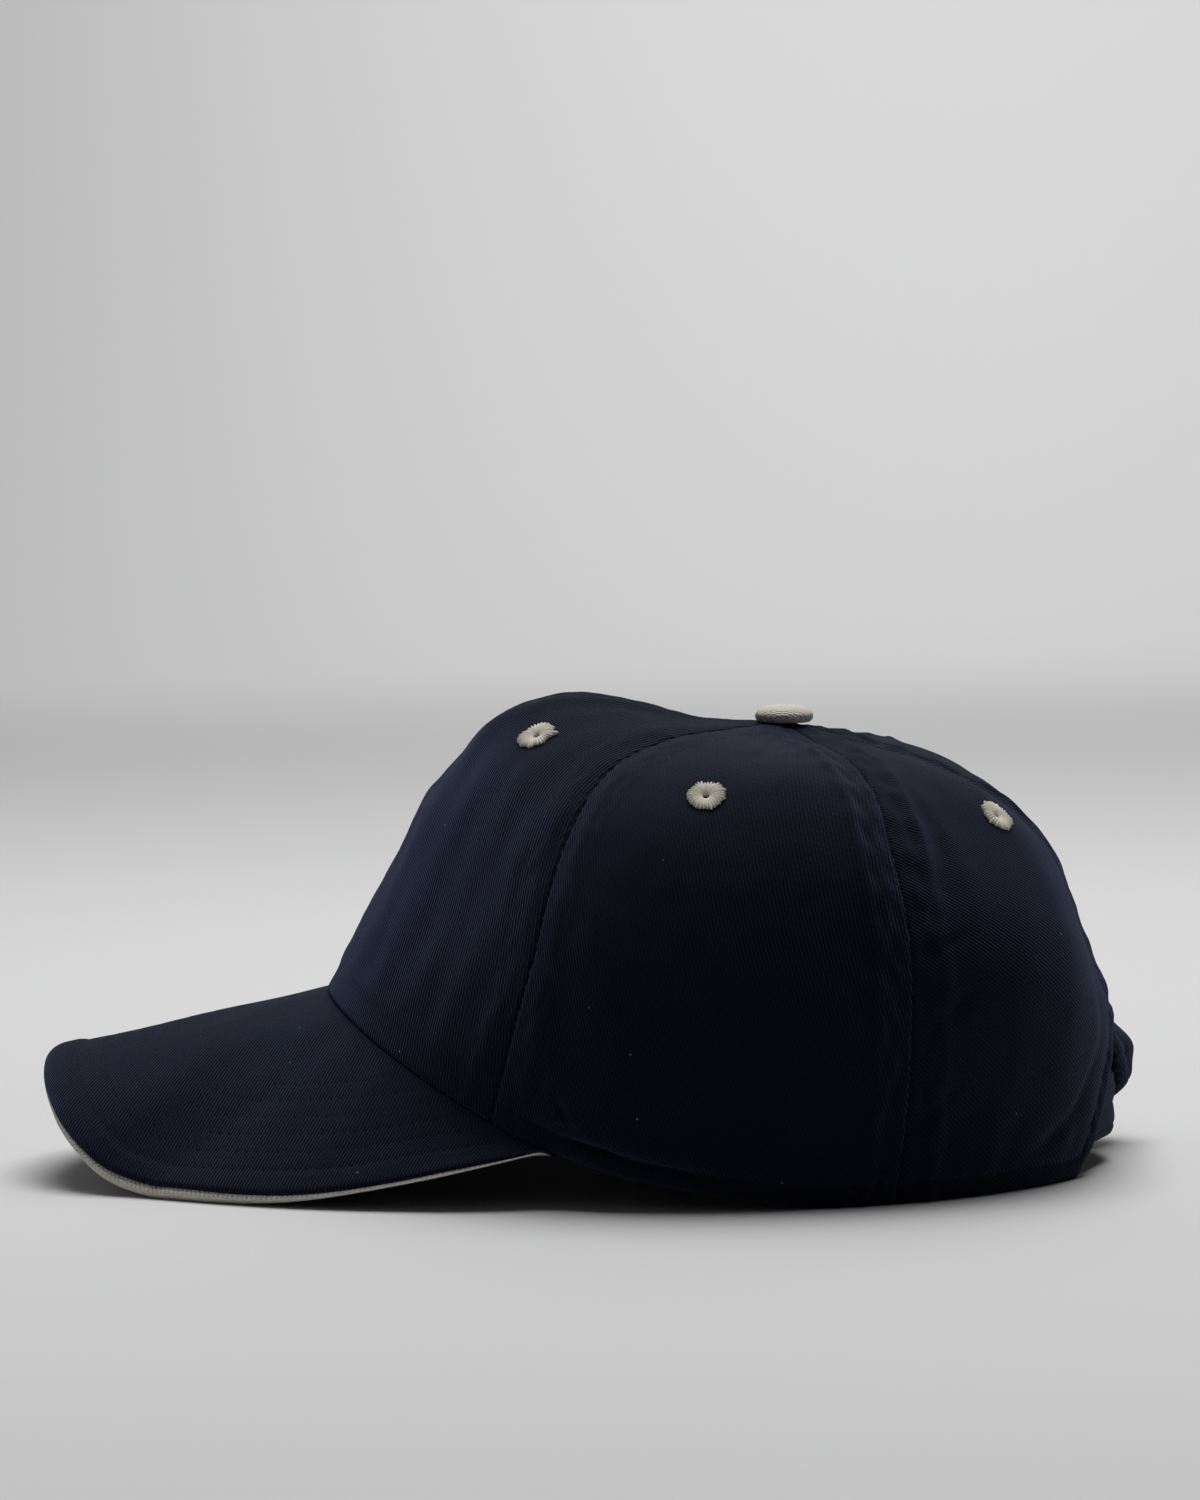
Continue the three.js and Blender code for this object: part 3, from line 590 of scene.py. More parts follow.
# Twills: name, dark, light, pitch, lean, depth, sheen and tint
NAVY_LEANS = (("navy_twill", 18), ("navy_twill_back", 50), ("navy_twill_peak", 62), ("navy_twill_strap", 45))
navy_panel, navy_back, navy_peak, navy_strap = (
    twill_material(name, NAVY_DARK, NAVY_LIGHT, TWILL_PITCH, lean, TWILL_DEPTH, NAVY_FUZZ, NAVY_SHEEN)
    for name, lean in NAVY_LEANS)
cream_edging, cream_button, band_cloth = (twill_material(*settings) for settings in (
    ("cream_twill", EDGING_DARK, EDGING_LIGHT, 0.84, 50, 0.0004, 0.5, CREAM_LIGHT),
    ("cream_button", CREAM_DARK, CREAM_LIGHT, 0.62, 0, 0.00022, 0.1, CREAM_LIGHT),
    ("band_cloth", BAND_DARK, BAND_LIGHT, 0.6, 45, 0.0001, 0.05, NAVY_SHEEN)))
cream_thread = thread_material("cream_thread", (0.48, 0.44, 0.36), (0.88, 0.84, 0.75))
navy_thread = thread_material("navy_thread", (0.0020, 0.0024, 0.0060), (0.0120, 0.0140, 0.0300), 0.2)

# Crown panels

PATTERN_TURNS = 41
PATTERN_STEPS = 81

# Small relief of the panels, in millimetres and degrees; a row of three is a place, a width and a height.
# Seams: stitch pitch, the roll and its deeper dashes, puckers, rough allowance, and the ridge at its edge
SEAM_PITCH = 3.3
SEAM_ROLL = 0.05
SEAM_DASH = 0.62
SEAM_ROLL_WIDTH = 0.5
SEAM_PUCKER = (0, 1.6, 0.14)
SEAM_ROUGH = (5, 4)
ROUGH_FRONT = 0.12
ROUGH_BACK = 0.5
SEAM_RIDGE = (8.3, 1.5, 0.5)
RIDGE_FRONT = 0.25
RIDGE_ROUGH = (8.3, 3, 0.1)
FRONT_PART = (FRONT_SEAM + BACK_SEAM) / 2

# Hem: its crease, the folds below and above it, its edge and puckers; fuller beside the peak, flat in
# front and calmer behind
HEM_CREASE = 5.1
HEM_DRIFT = 0.3
HEM_GROOVE = (0, 0.85, 0.5)
HEM_LOW = (2.2, 1.8, 0.65)
HEM_HIGH = (9.0, 3.0, 0.35)
HEM_EDGE = (0, 0.55, 0.45)
HEM_PUCKER = (0, 2.2, 0.12)
HEM_PUCKER_PITCH = 3.1
HEM_PUFF = (79, 16, 1.2)
HEM_FRONT, HEM_FRONT_TO, HEM_FROM = 0.1, 62, 77
HEM_BACK, HEM_BACK_FROM, HEM_BACK_TO = 0.6, 85, 100

# Unevenness of the cloth: height, length, how many times quicker it changes across, and seed
UNEVEN = ((0.28, 34, 1.7, 0), (0.10, 12, 1.0, 1))
LOW_UNEVEN = (13, 8, 0.3)
EYELET_DIP = (3.5, 3.5, 0.25)

SEAM_TRIM = -0.02
COLUMNS = 90
ROWS = 230
COLUMN_EASE = 0.65
ARCH_EASE = 1.15
ROW_EASE = 0.5
ALLOWANCE = 0.45
ALLOWANCE_FULL_TO = 7.2
ALLOWANCE_TO = 8.2
HOLE_RADIUS = 2.3

# Small creases: angle, height over the rim, half length, half width, lean and depth
CREASES = (
    (77, 5.4, 4.5, 0.7, 90, 1.1), (71, 7.4, 3, 0.8, 65, 0.7), (71, 11, 3.5, 0.9, -40, 0.8),
    (66, 13, 5, 1.6, 30, 0.5), (129, 92, 16, 3.2, 15, 1.2), (125, 78, 9, 2.4, 35, 1.0),
    (123, 62, 6, 1.8, 65, 0.8), (114, 58, 8, 2.2, -50, 0.6), (124, 46, 8, 2.2, 50, 0.8),
    (114, 30, 8, 2.4, -40, 0.6), (123, 24, 7, 2.0, 45, 0.6), (148, 14, 11, 2.6, 60, 0.9),
    (155, 24, 10, 2.2, 40, 0.8), (164, 46, 12, 3.0, 25, 0.6), (-152, 20, 11, 2.6, -55, 0.6),
    (-122, 40, 10, 2.6, 35, 0.45), (-70, 16, 8, 2.2, -30, 0.5), (-30, 30, 14, 3.5, 20, 0.4),
)


class Panel:
    """One crown panel: its flat pattern, and its cloth's surface with seams, hem and small folds."""

    def __init__(self, name, side, start, end, eyelet_reach, seed):
        self.name, self.side, self.start, self.end, self.seed = name, side, start, end, seed
        grid = strip_grid(side * start, side * end, PATTERN_TURNS, PATTERN_STEPS)
        points = crown_base(*grid).reshape(PATTERN_TURNS, PATTERN_STEPS, 3)
        self.across = from_middle(points)
        self.up = path_reach(points.swapaxes(0, 1)).T
        arch = side * np.linspace(180 - ARCH_HALF_TURN, 180, PATTERN_TURNS)
        self.arch = np.stack(self.flat(arch, arch_along(arch)), -1)
        middle = np.array([side * (start + end) / 2])
        along = along_at_reach(middle, eyelet_reach)
        self.eyelet = (middle[0], along[0])
        self.eyelet_flat = self.flat(middle, along)

    def look(self, table, angle, along):
        """Value of a pattern table at an angle and a height."""
        i = np.clip((np.abs(angle) - self.start) / (self.end - self.start), 0, 1) * (PATTERN_TURNS - 1)
        j = np.clip(along, 0, 1) * (PATTERN_STEPS - 1)
        a, b = np.minimum(i.astype(int), PATTERN_TURNS - 2), np.minimum(j.astype(int), PATTERN_STEPS - 2)
        s, t = i - a, j - b
        low = mix(table[a, b], table[a, b + 1], t)
        high = mix(table[a + 1, b], table[a + 1, b + 1], t)
        return mix(low, high, s)

    def flat(self, angle, along):
        """Flat place in millimetres: across from the middle line, and up from the rim."""
        return self.look(self.across, angle, along), self.look(self.up, angle, along)

    def to_seams(self, angle, along, across):
        """Distances to the seams on either side, in the flat."""
        seams = (np.full_like(along, self.side * seam) for seam in (self.start, self.end))
        start, end = (self.look(self.across, seam, along) for seam in seams)
        return across - start, end - across

    def to_eyelet(self, across, up):
        return np.hypot(across - self.eyelet_flat[0], up - self.eyelet_flat[1])

    def fine(self, angle, along):
        """Small relief: seams, hem, creases and unevenness."""
        across, up = self.flat(angle, along)
        total = self.seam_relief(angle, along, across) + self.hem_relief(angle, along, across, up)
        for height, length, quick, seed in UNEVEN:
            total += height * waves(across * quick, up, length, self.seed + seed) * ease(up, 3, 14)
        total += self.creases(angle, along, across, up)
        return total - bell(self.to_eyelet(across, up), *EYELET_DIP)

    def seam_relief(self, angle, along, across):
        left, right = self.to_seams(angle, along, across)
        edge = np.minimum(left, right)
        seam_up = self.look(self.up, np.where(left < right, self.start, self.end) * self.side, along)
        thread = np.cos(2 * np.pi * seam_up / SEAM_PITCH)
        dash = ease(thread, -0.8, -0.3)
        back = ease(np.abs(angle), FRONT_PART - 2, FRONT_PART + 2)
        total = -(SEAM_ROLL + SEAM_DASH * dash) * bell(edge, 0, SEAM_ROLL_WIDTH)
        total += thread * bell(edge, *SEAM_PUCKER)
        rough = waves(edge * 2, seam_up, 9, 11) * bell(edge, *SEAM_ROUGH)
        total += mix(ROUGH_FRONT, ROUGH_BACK, back) * rough
        total += mix(RIDGE_FRONT, 1, back) * bell(edge, *SEAM_RIDGE)
        return total + waves(edge, seam_up, 4, 12) * bell(edge, *RIDGE_ROUGH)

    def hem_relief(self, angle, along, across, up):
        turn = np.abs(angle)
        from_edge = self.from_edge(angle, along)
        from_seam = np.minimum(*self.to_seams(angle, along, across))
        sewn = mix(HEM_FRONT, 1, ease(turn, HEM_FRONT_TO, HEM_FROM))
        puff = sewn * (1 + bell(turn, *HEM_PUFF))
        puff = puff * mix(1, HEM_BACK, ease(turn, HEM_BACK_FROM, HEM_BACK_TO))
        crease = from_edge - HEM_CREASE - HEM_DRIFT * waves(across, up * 0, 40, self.seed + 3)
        total = sewn * bell(from_edge, *HEM_LOW) - puff * bell(crease, *HEM_GROOVE)
        total += puff * bell(from_edge, *HEM_HIGH) * ease(from_seam, 0, 3)
        total += (1 - sewn) * HEM_INSET * (1 - ease(up, HEM_WIDTH, HEM_WIDTH + HEM_SHOULDER))
        pucker = np.cos(2 * np.pi * across / HEM_PUCKER_PITCH + 2 * waves(across, up * 0, 30, 5))
        total += sewn * pucker * bell(crease, *HEM_PUCKER) - bell(from_edge, *HEM_EDGE)
        return total + sewn * waves(across * 3.0, up * 0.5, 26, self.seed + 2) * bell(up, *LOW_UNEVEN)

    def creases(self, angle, along, across, up):
        """Small creases and dents, each round its own place."""
        total = 0
        for at_angle, at_up, length, width, lean, depth in CREASES:
            if not self.start <= abs(at_angle) <= self.end or at_angle * self.side < 0:
                continue
            middle = np.array([float(at_angle)])
            x = across - self.look(self.across, middle, along_at_height(middle, at_up + rim_height(middle)))
            y = up - at_up
            turn = math.radians(lean)
            lengthwise = x * math.sin(turn) + y * math.cos(turn)
            sideways = x * math.cos(turn) - y * math.sin(turn)
            total = total - bell(sideways, 0, width, depth) * bell(lengthwise, 0, length)
        return total

    def from_edge(self, angle, along):
        """Distance from the rim, or from the arch where that is nearer, in the flat."""
        across, up = self.flat(angle, along)
        if self.end != 180:
            return up
        away = np.hypot(across[:, None] - self.arch[:, 0], up[:, None] - self.arch[:, 1]).min(axis=1)
        return np.minimum(up, away)

    def skin(self, angle, along, lift=0.0):
        """Points "lift" over the cloth's outer face."""
        return crown_point(angle, along, self.fine(angle, along) + lift)


PANELS = [
    Panel(f"panel_{name}_{side_name}", side, start, end, reach[index], seed)
    for name, start, end, reach, seed in (
        ("front", 0, FRONT_SEAM, (65, 65), 31),
        ("side", FRONT_SEAM, BACK_SEAM, (62, 62), 47),
        ("back", BACK_SEAM, 180, (62.5, 68), 68))
    for index, (side_name, side) in enumerate((("left", 1), ("right", -1)))
]


def panel_angles(panel):
    """Angles of the columns, closer together at the seams and round the arch."""
    t = np.linspace(0, 1, COLUMNS)
    eased = mix(t, (1 - np.cos(np.pi * t)) / 2, COLUMN_EASE)
    if panel.end != 180:
        return mix(panel.start, panel.end, eased)
    plain = COLUMNS // 2
    first = mix(panel.start, 180 - ARCH_HALF_TURN, np.linspace(0, 1, plain, endpoint=False) ** ARCH_EASE)
    turn = np.linspace(np.pi / 2, 0, COLUMNS - plain)
    return np.concatenate([first, 180 - ARCH_HALF_TURN * np.sin(turn)])


def panel_piece(panel):
    nominal = panel_angles(panel)
    low = arch_along(nominal) if panel.end == 180 else np.zeros(COLUMNS)
    high = along_at_reach(nominal, TOP_HOLE_RADIUS)
    t = np.linspace(0, 1, ROWS)[:, None]
    along = mix(low, high, mix(t, t * t, ROW_EASE)).ravel()
    nominal = np.tile(nominal, ROWS)
    share = (nominal - panel.start) / (panel.end - panel.start)
    trim = np.degrees(SEAM_TRIM / np.maximum(button_reach(crown_base(nominal, along)), 1))
    angle = panel.side * mix(panel.start + trim, panel.end - trim, share)
    outer = panel.skin(angle, along)
    across, up = panel.flat(angle, along)
    from_seam = np.minimum(*panel.to_seams(angle, along, across))
    doubled = 1 - ease(from_seam, ALLOWANCE_FULL_TO, ALLOWANCE_TO)
    depth = CLOTH + (ALLOWANCE + 0.08 * waves(across, up, 5, 9)) * doubled
    inner = panel.skin(angle, along, -depth)
    ring = panel.to_eyelet(across, up).reshape(ROWS, COLUMNS)
    removed = (ring[1:, 1:] + ring[:-1, :-1]) / 2 < HOLE_RADIUS
    flat = np.stack([across * panel.side, up], -1)
    outer, inner = (points.reshape(ROWS, COLUMNS, 3) for points in (outer, inner))
    cloth = navy_back if panel.end == 180 else navy_panel
    piece = shell_piece(f"cloth_{panel.name}", outer, inner, cloth, flat, removed)
    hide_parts(panel.name)


for panel in PANELS:
    panel_piece(panel)

# Stitched eyelets

EYELET_THREADS = 32
EYELET_SAMPLES = 5
EYELET_LIFT = 0.2
EYELET_STEP = 0.01
LOOSE_THREAD = 4
LOOSE_LENGTH = 1.5

# Ranges of the threads' lengths and heights, how round they stand and how far their tips reach
THREAD_LENGTHS = (-0.45, 0.35)
THREAD_HEIGHTS = (-0.06, 0.08)
THREAD_RELIEF = 0.24
THREAD_TIP = 1.1
THREAD_TIP_FROM = 0.7

# Cut through the ring: radius and height, over the top, down the hole and back underneath
EYELET_PROFILE = (
    (4.45, -0.15), (4.55, 0.18), (4.2, 0.50), (3.5, 0.72), (2.7, 0.74), (1.7, 0.50), (1.0, 0.12), (0.7, -0.6),
    (1.3, -1.40), (2.0, -1.78), (3.0, -1.95), (3.9, -1.80), (4.1, -1.35), (3.2, -0.70),
)
EYELET_WAIST = -0.6


def eyelet_piece(panel, seed):
    source = random.Random(seed)
    lengths = [source.uniform(*THREAD_LENGTHS) for _ in range(EYELET_THREADS)]
    if panel is PANELS[0]:
        lengths[LOOSE_THREAD] += LOOSE_LENGTH
    heights = [source.uniform(*THREAD_HEIGHTS) for _ in range(EYELET_THREADS)]
    angle, along = panel.eyelet
    here = crown_base(angle + np.array([0, 1, 0]), along + np.array([0, 0, EYELET_STEP]))
    per_turn = np.linalg.norm(here[1] - here[0])
    per_along = np.linalg.norm(here[2] - here[0]) / EYELET_STEP
    steps = EYELET_THREADS * EYELET_SAMPLES
    places = []
    for step in range(steps):
        turn = 2 * math.pi * step / steps
        thread, part = divmod(step, EYELET_SAMPLES)
        ridge = math.sin(math.pi * (part + 0.5) / EYELET_SAMPLES)
        tip = lengths[thread] + THREAD_TIP * (ridge - THREAD_TIP_FROM)
        proud = THREAD_RELIEF * ridge + heights[thread]
        for radius, height in EYELET_PROFILE:
            reach = radius + tip * ease(radius, 2.6, 4.4)
            lift = height + math.copysign(proud, height - EYELET_WAIST) * ease(radius, 0.9, 2.4)
            places.append((
                angle + reach * math.cos(turn) / per_turn, along + reach * math.sin(turn) / per_along, lift))
    angles, alongs, lifts = np.array(places).T
    points = panel.skin(angles, alongs, lifts + EYELET_LIFT)
    faces = outwards(points, ring_faces(steps, len(EYELET_PROFILE), wrapped=True))
    name = panel.name.replace("panel", "eyelet")
    piece = mesh_piece(f"stitched_{name}", points, faces, cream_thread)
    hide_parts(name)


for panel in PANELS:
    eyelet_piece(panel, panel.seed + 100 * (panel.side + 2))

# Stitches in the hem's crease

HEM_STITCH_PITCH = 3.1
HEM_STITCH_LIFT = -0.12
HEM_STITCH_SHARE = 0.72
HEM_STITCH_RADIUS = 0.22
HEM_STITCH_HUMP = 0.14
HEM_SAMPLES = 400
ARCH_REACH = 0.15


def hem_stitches():
    rows = []
    for panel in PANELS[2:]:
        angle = panel.side * np.linspace(panel.start, panel.end, HEM_SAMPLES)
        along = along_from_edge(panel, angle, HEM_CREASE)
        angle, along = evenly(crown_base(angle, along), HEM_STITCH_PITCH, (angle, along))
        path = panel.skin(angle, along, HEM_STITCH_LIFT)
        outs = unit(panel.skin(angle, along, HEM_STITCH_LIFT + 1) - path)
        rows.append(stitch_row(path, outs, HEM_STITCH_SHARE))
    stitches_piece("hem_stitches", rows, HEM_STITCH_RADIUS, HEM_STITCH_HUMP)


def along_from_edge(panel, angle, distance):
    """Where the cloth is at a distance from the rim or the arch."""
    low = arch_along(angle)
    target = np.full(len(angle), float(distance))
    return solve_along(lambda along: panel.from_edge(angle, along), target, low, low + ARCH_REACH)


hem_stitches()

# Button

# Cut from the axis: distance from it and height, as shares of the button's radius and height
BUTTON_PROFILE = (
    (0.10, -0.12), (0.55, -0.14), (0.86, -0.10), (0.98, 0.06), (1.02, 0.32), (0.98, 0.52), (0.86, 0.72),
    (0.68, 0.86), (0.46, 0.95), (0.22, 0.99), (0.0, 1.0),
)
BUTTON_TURNS = 120
BUTTON_RINGS = 40
GATHERS = 34
GATHER_DEPTH = 0.14
DRAPE = 0.25


def button_piece():
    seat_angles = np.array([0.0, 180.0])
    seats = crown_point(seat_angles, along_at_reach(seat_angles, BUTTON_RADIUS))
    lean = Matrix.Rotation(math.radians(BUTTON_LEAN), 3, "X")
    aside = np.array([1.0, 0, 0])
    axis = np.array(lean @ Vector(unit(np.cross(aside, seats[1] - seats[0]))))
    forward = unit(np.cross(axis, aside))
    knots, steps = (np.linspace(0, 1, count) for count in (len(BUTTON_PROFILE), BUTTON_RINGS))
    wide, up = (through(knots, column, steps)[:, None] for column in zip(*BUTTON_PROFILE))
    turn = np.linspace(0, 2 * np.pi, BUTTON_TURNS, endpoint=False)
    gather = GATHER_DEPTH * np.cos(GATHERS * turn + 0.8 * np.sin(5 * turn)) * bell(up, 0.2, 0.4)
    radius = BUTTON_RADIUS * np.maximum(wide, 0) + gather
    x, y, z = (value[..., None] for value in (
        radius * np.cos(turn), radius * np.sin(turn), BUTTON_LIFT + BUTTON_HEIGHT * up))
    points = (seats.mean(0) + x * aside + y * forward + z * axis).reshape(-1, 3)
    flat = (np.concatenate([x, y], -1) * (1 + DRAPE * (1 - up[..., None]))).reshape(-1, 2)
    faces = ring_faces(BUTTON_RINGS, BUTTON_TURNS) + [tuple(reversed(range(BUTTON_TURNS)))]
    piece = mesh_piece("covered_button", points, outwards(points, faces), cream_button, flat)
    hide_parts("top_button")


button_piece()

# Band inside the rim

BAND_COLUMNS = 300
BAND_ROWS = 26
BAND_RADIUS = 88
BAND_LOOSE = 0.5
BAND_TIP = 0.4

# Rolls along the band's edges and seams inside it: place, width and height
BAND_ROLLS = ((0, 0.05, 0.35), (1, 0.05, 0.35))
BAND_SEAMS = ((3.2, 0.5, 0.15), (23, 0.5, 0.108))


def strip_shell(name, outer, inner, columns, flat, material):
    """A strip of cloth from its points."""
    outer, inner = (points.reshape(columns, -1, 3) for points in (outer, inner))
    return shell_piece(name, outer, inner, material, flat)


def band_piece():
    angle, share = strip_grid(-BAND_HALF_TURN, BAND_HALF_TURN, BAND_COLUMNS, BAND_ROWS)
    rise = mix(BAND_RISE, BAND_HEIGHT, share)
    along = along_at_height(angle, rim_height(angle) + rise)
    arc = np.radians(angle) * BAND_RADIUS
    loose = BAND_LOOSE * waves(arc * 1.6, rise * 0.3, 34, 77) * ease(share, 0.3, 1)
    loose = loose - BAND_TIP * ease(share, 0.4, 1) - CLOTH - INNER_GAP
    roll = sum(bell(share, *row) for row in BAND_ROLLS)
    seams = sum(bell(rise, *row) for row in BAND_SEAMS)
    outer = crown_point(angle, along, loose - roll)
    inner = crown_point(angle, along, loose - BAND_CLOTH + 0.3 * roll + seams)
    flat = np.stack([arc, rise], -1)
    piece = strip_shell("cloth_sweatband", outer, inner, BAND_COLUMNS, flat, band_cloth)
    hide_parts("sweatband")


band_piece()

# Straps

STRAP_COLUMNS = 90
STRAP_ROWS = 30
STRAP_RADIUS = 96
STRAP_PUFF = 0.33
STRAP_UNEVEN = 0.12

# Rolls along a strap: distance from its edge, width and height
STRAP_ROLLS = ((0, 0.6, 0.4), (2.2, 0.45, 0.25), (STRAP_WIDTH / 2, 0.6, 0.2))


def strap_piece(name, side, is_outer):
    tail = 180 + math.degrees(STRAP_OVERLAP / 2 / RIM_HALF_WIDTH)
    turn, share = strip_grid(STRAP_ROOT, tail, STRAP_COLUMNS, STRAP_ROWS)
    angle = folded(side * turn)
    up = STRAP_WIDTH * share
    along = along_at_height(angle, STRAP_RISE + up)
    arc = np.radians(turn - STRAP_ROOT) * STRAP_RADIUS
    sink = 0 if is_outer else STRAP_CLOTH + PIECE_GAP
    depth = CLOTH + INNER_GAP + sink * ease(turn, STRAP_ROOT, STRAP_ROOT + STRAP_SINK_TURN)
    depth = depth - bell(turn, 180, STRAP_BULGE_TURN, STRAP_BULGE)
    depth = depth - STRAP_PUFF * np.sin(2 * np.pi * share) ** 2 - STRAP_UNEVEN * waves(arc, up, 14, 55)
    edge = np.minimum(up, STRAP_WIDTH - up)
    roll = sum(bell(edge, *row) for row in STRAP_ROLLS)
    outer = plain_point(angle, along, -depth - roll)
    inner = plain_point(angle, along, 0.3 * roll - depth - STRAP_CLOTH)
    flat = np.stack([arc, up], -1)
    piece = strip_shell(f"cloth_{name}", outer, inner, STRAP_COLUMNS, flat, navy_strap)
    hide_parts(name)


strap_piece("strap_left", 1, True)
strap_piece("strap_right", -1, False)

# Peak

NORMAL_HOLD = 0.88
NORMAL_STEP = 0.01


def peak_edge(around):
    turn = np.abs(around)
    corner = rim_point(np.array([PEAK_HALF_TURN]))[0, 1]
    front = rim_point(np.array([0.0]))[0, 1] - PEAK_LENGTH
    wide = mirrored(PEAK_EDGE, "around", "wide", turn, -1)
    forward = mirrored(PEAK_EDGE, "around", "forward", turn)
    up = np.maximum(0, mirrored(PEAK_EDGE, "around", "up", turn))
    return np.stack([
        np.sign(around) * PEAK_HALF_WIDTH * wide, mix(corner, front, forward), RIM_FRONT_HEIGHT * up], -1)


def peak_normal(around):
    held = np.clip(around, -NORMAL_HOLD, NORMAL_HOLD)

    def half(share):
        return (rim_point(share * PEAK_HALF_TURN) + peak_edge(share)) / 2

    across = peak_edge(held) - rim_point(held * PEAK_HALF_TURN)
    up = unit(np.cross(half(held + NORMAL_STEP) - half(held - NORMAL_STEP), across))
    return np.where(up[:, 2:] < 0, -up, up)


class Peak:
    """Cuts across the peak at several stations, for surfaces at any share and height."""

    def __init__(self, stations, reach=1.0):
        self.around = reach * np.linspace(-1, 1, stations)
        angle = self.around * PEAK_HALF_TURN
        self.seam = rim_point(angle)
        self.seam[:, 2] -= PIECE_GAP
        inset = CLOTH + INNER_GAP + BAND_CLOTH + HEM_INSET
        self.inside = self.seam - crown_out(angle, np.zeros(stations)) * inset
        self.edge = peak_edge(self.around)
        self.width = np.linalg.norm(self.edge - self.seam, axis=1)
        self.up = peak_normal(self.around)
        self.fit = np.minimum(1, TIP_SHARE * self.width / EDGING_DEPTH)
        turn = np.abs(self.around)
        self.full = 1 - ease(turn, EDGING_FULL_TO, EDGING_THIN_FROM)
        thin = mix(1, CORNER_THIN, ease(turn, CORNER_FROM, 1))
        self.bottom = np.zeros(stations)
        self.under_top = UNDER_COVER * thin
        self.edging_low = self.under_top + LAYER_GAP * thin
        self.edging_high = self.edging_low + mix(EDGING_AT_CORNER, EDGING, self.full) * thin
        self.cover_low = self.edging_high + LAYER_GAP * thin
        self.top = self.cover_low + TOP_COVER * thin

    def from_edge(self, distance):
        """Share of the way to the edge at a distance from it, closer at the narrow corners."""
        return 1 - distance * self.fit / self.width

    def at(self, share, height):
        """Points at a share and a height for each station; a share of -1 is inside the crown."""
        level = self.seam + (self.edge - self.seam) * np.clip(share, 0, None)[:, None]
        level = np.where(share[:, None] < 0, self.inside, level)
        anchor = mix(self.top, self.edging_low, np.maximum(0, share))
        points = level + self.up * (height - anchor)[:, None]
        points[:, 2] = np.maximum(0, points[:, 2])
        return points


# Stitch rows: distances from the edge, pitch, lift, share of stitch, thickness and hump; then the
# width and height of a row's groove and puckers, and the unevenness between the rows
STITCH_ROWS = (9.5, 16, 22.5, 29, 35.5, 42)
ROW_PITCH = 2.9
ROW_LIFT = -0.12
ROW_SHARE = 0.66
ROW_RADIUS = 0.16
ROW_HUMP = 0.08
ROW_GROOVE = (0.8, 0.09)
ROW_PUCKER = (1.2, 0.03)
PEAK_UNEVEN = 0.18

# Raised roll along the edge: height, distances over which it rises and falls, and where it is full
ROLL = 0.6
ROLL_AT_ENDS = 0.3
ROLL_RISE = (0.5, 3.5)
ROLL_FALL = (6.5, 9.5)
ROLL_FULL_TO = 50
ROLL_ENDS = 90

# How far each cover stays back from the edge, from the peak's middle to its corner
TOP_SETBACK = ((0, 0.16, 0.28, 0.36, 0.48, 0.58, 0.7, 1), (0.45, 0.45, 1.3, 2.0, 1.9, 1.2, 0.6, 0.45))
LOW_SETBACK = ((0, 1), (UNDER_SETBACK, UNDER_SETBACK))
PEAK_STATIONS = 240
PEAK_ROWS = 46
FINE_TO = 2.4
NEAR_TO = 12
NEAR_STEPS = (
    *np.linspace(0, FINE_TO, 10, endpoint=False), *np.linspace(FINE_TO, NEAR_TO, 16, endpoint=False))
ROUND_WIDTH = 1.6
ROUND_DEPTH = 0.95


def row_relief(distance, arc):
    """Quilting of the peak by its stitch rows, a raised roll at the edge, and puckers."""
    full = mix(1, ROLL_AT_ENDS, ease(np.abs(arc), ROLL_FULL_TO, ROLL_ENDS))
    total = ROLL * full * ease(distance, *ROLL_RISE) * (1 - ease(distance, *ROLL_FALL))
    for row in STITCH_ROWS:
        pucker = np.cos(2 * np.pi * arc / ROW_PITCH + row)
        total = total - bell(distance, row, *ROW_GROOVE) + pucker * bell(distance, row, *ROW_PUCKER)
    return total + PEAK_UNEVEN * waves(arc, distance, 24, 91) * ease(distance, 1, 6)


def peak_cover(name, node, reach, setback, material, top):
    peak = Peak(PEAK_STATIONS, reach)
    rim = through(*setback, np.abs(peak.around))
    face, back, sign = (peak.top, peak.cover_low, 1) if top else (peak.bottom, peak.under_top, -1)
    arc = from_middle(peak.edge)
    shares = [peak.from_edge(rim + step * (NEAR_TO - rim) / NEAR_TO) for step in NEAR_STEPS]
    shares += [mix(peak.from_edge(NEAR_TO), 0, t) for t in np.linspace(0, 1, PEAK_ROWS)]
    shares.append(np.full(PEAK_STATIONS, -1.0))
    outer, inner = [], []
    for share in shares:
        held = np.maximum(share, 0)
        distance = (1 - held) * peak.width / peak.fit
        from_round = (ROUND_WIDTH - np.clip(distance - rim, 0, ROUND_WIDTH)) / ROUND_WIDTH
        lift = row_relief(distance, arc) * ease(held * peak.width, 0, 2.5)
        lift = lift - ROUND_DEPTH * (1 - np.sqrt(1 - from_round**2))
        outer.append(peak.at(share, face + sign * lift))
        inner.append(peak.at(share, back))
    outer, inner = np.stack(outer, 1), np.stack(inner, 1)
    flat = np.stack([from_middle(outer[..., [0, 2]]), outer[..., 1]], -1)
    piece = shell_piece(name, outer, inner, material, flat)
    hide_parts(node)


# Strip between the covers: how far it swells beyond its layer, how blunt its nose is, and its ribs
EDGING_SWELL = 1.3
EDGING_FULLNESS = 2.8
EDGING_RIB = 0.45
EDGING_LEAN = 1.2
EDGING_RIB_PITCH = 1.3
EDGING_UNEVEN = 0.08
EDGING_TIP = 0.02
EDGING_NOSE_STEPS = 12
EDGING_BODY_STEPS = 6


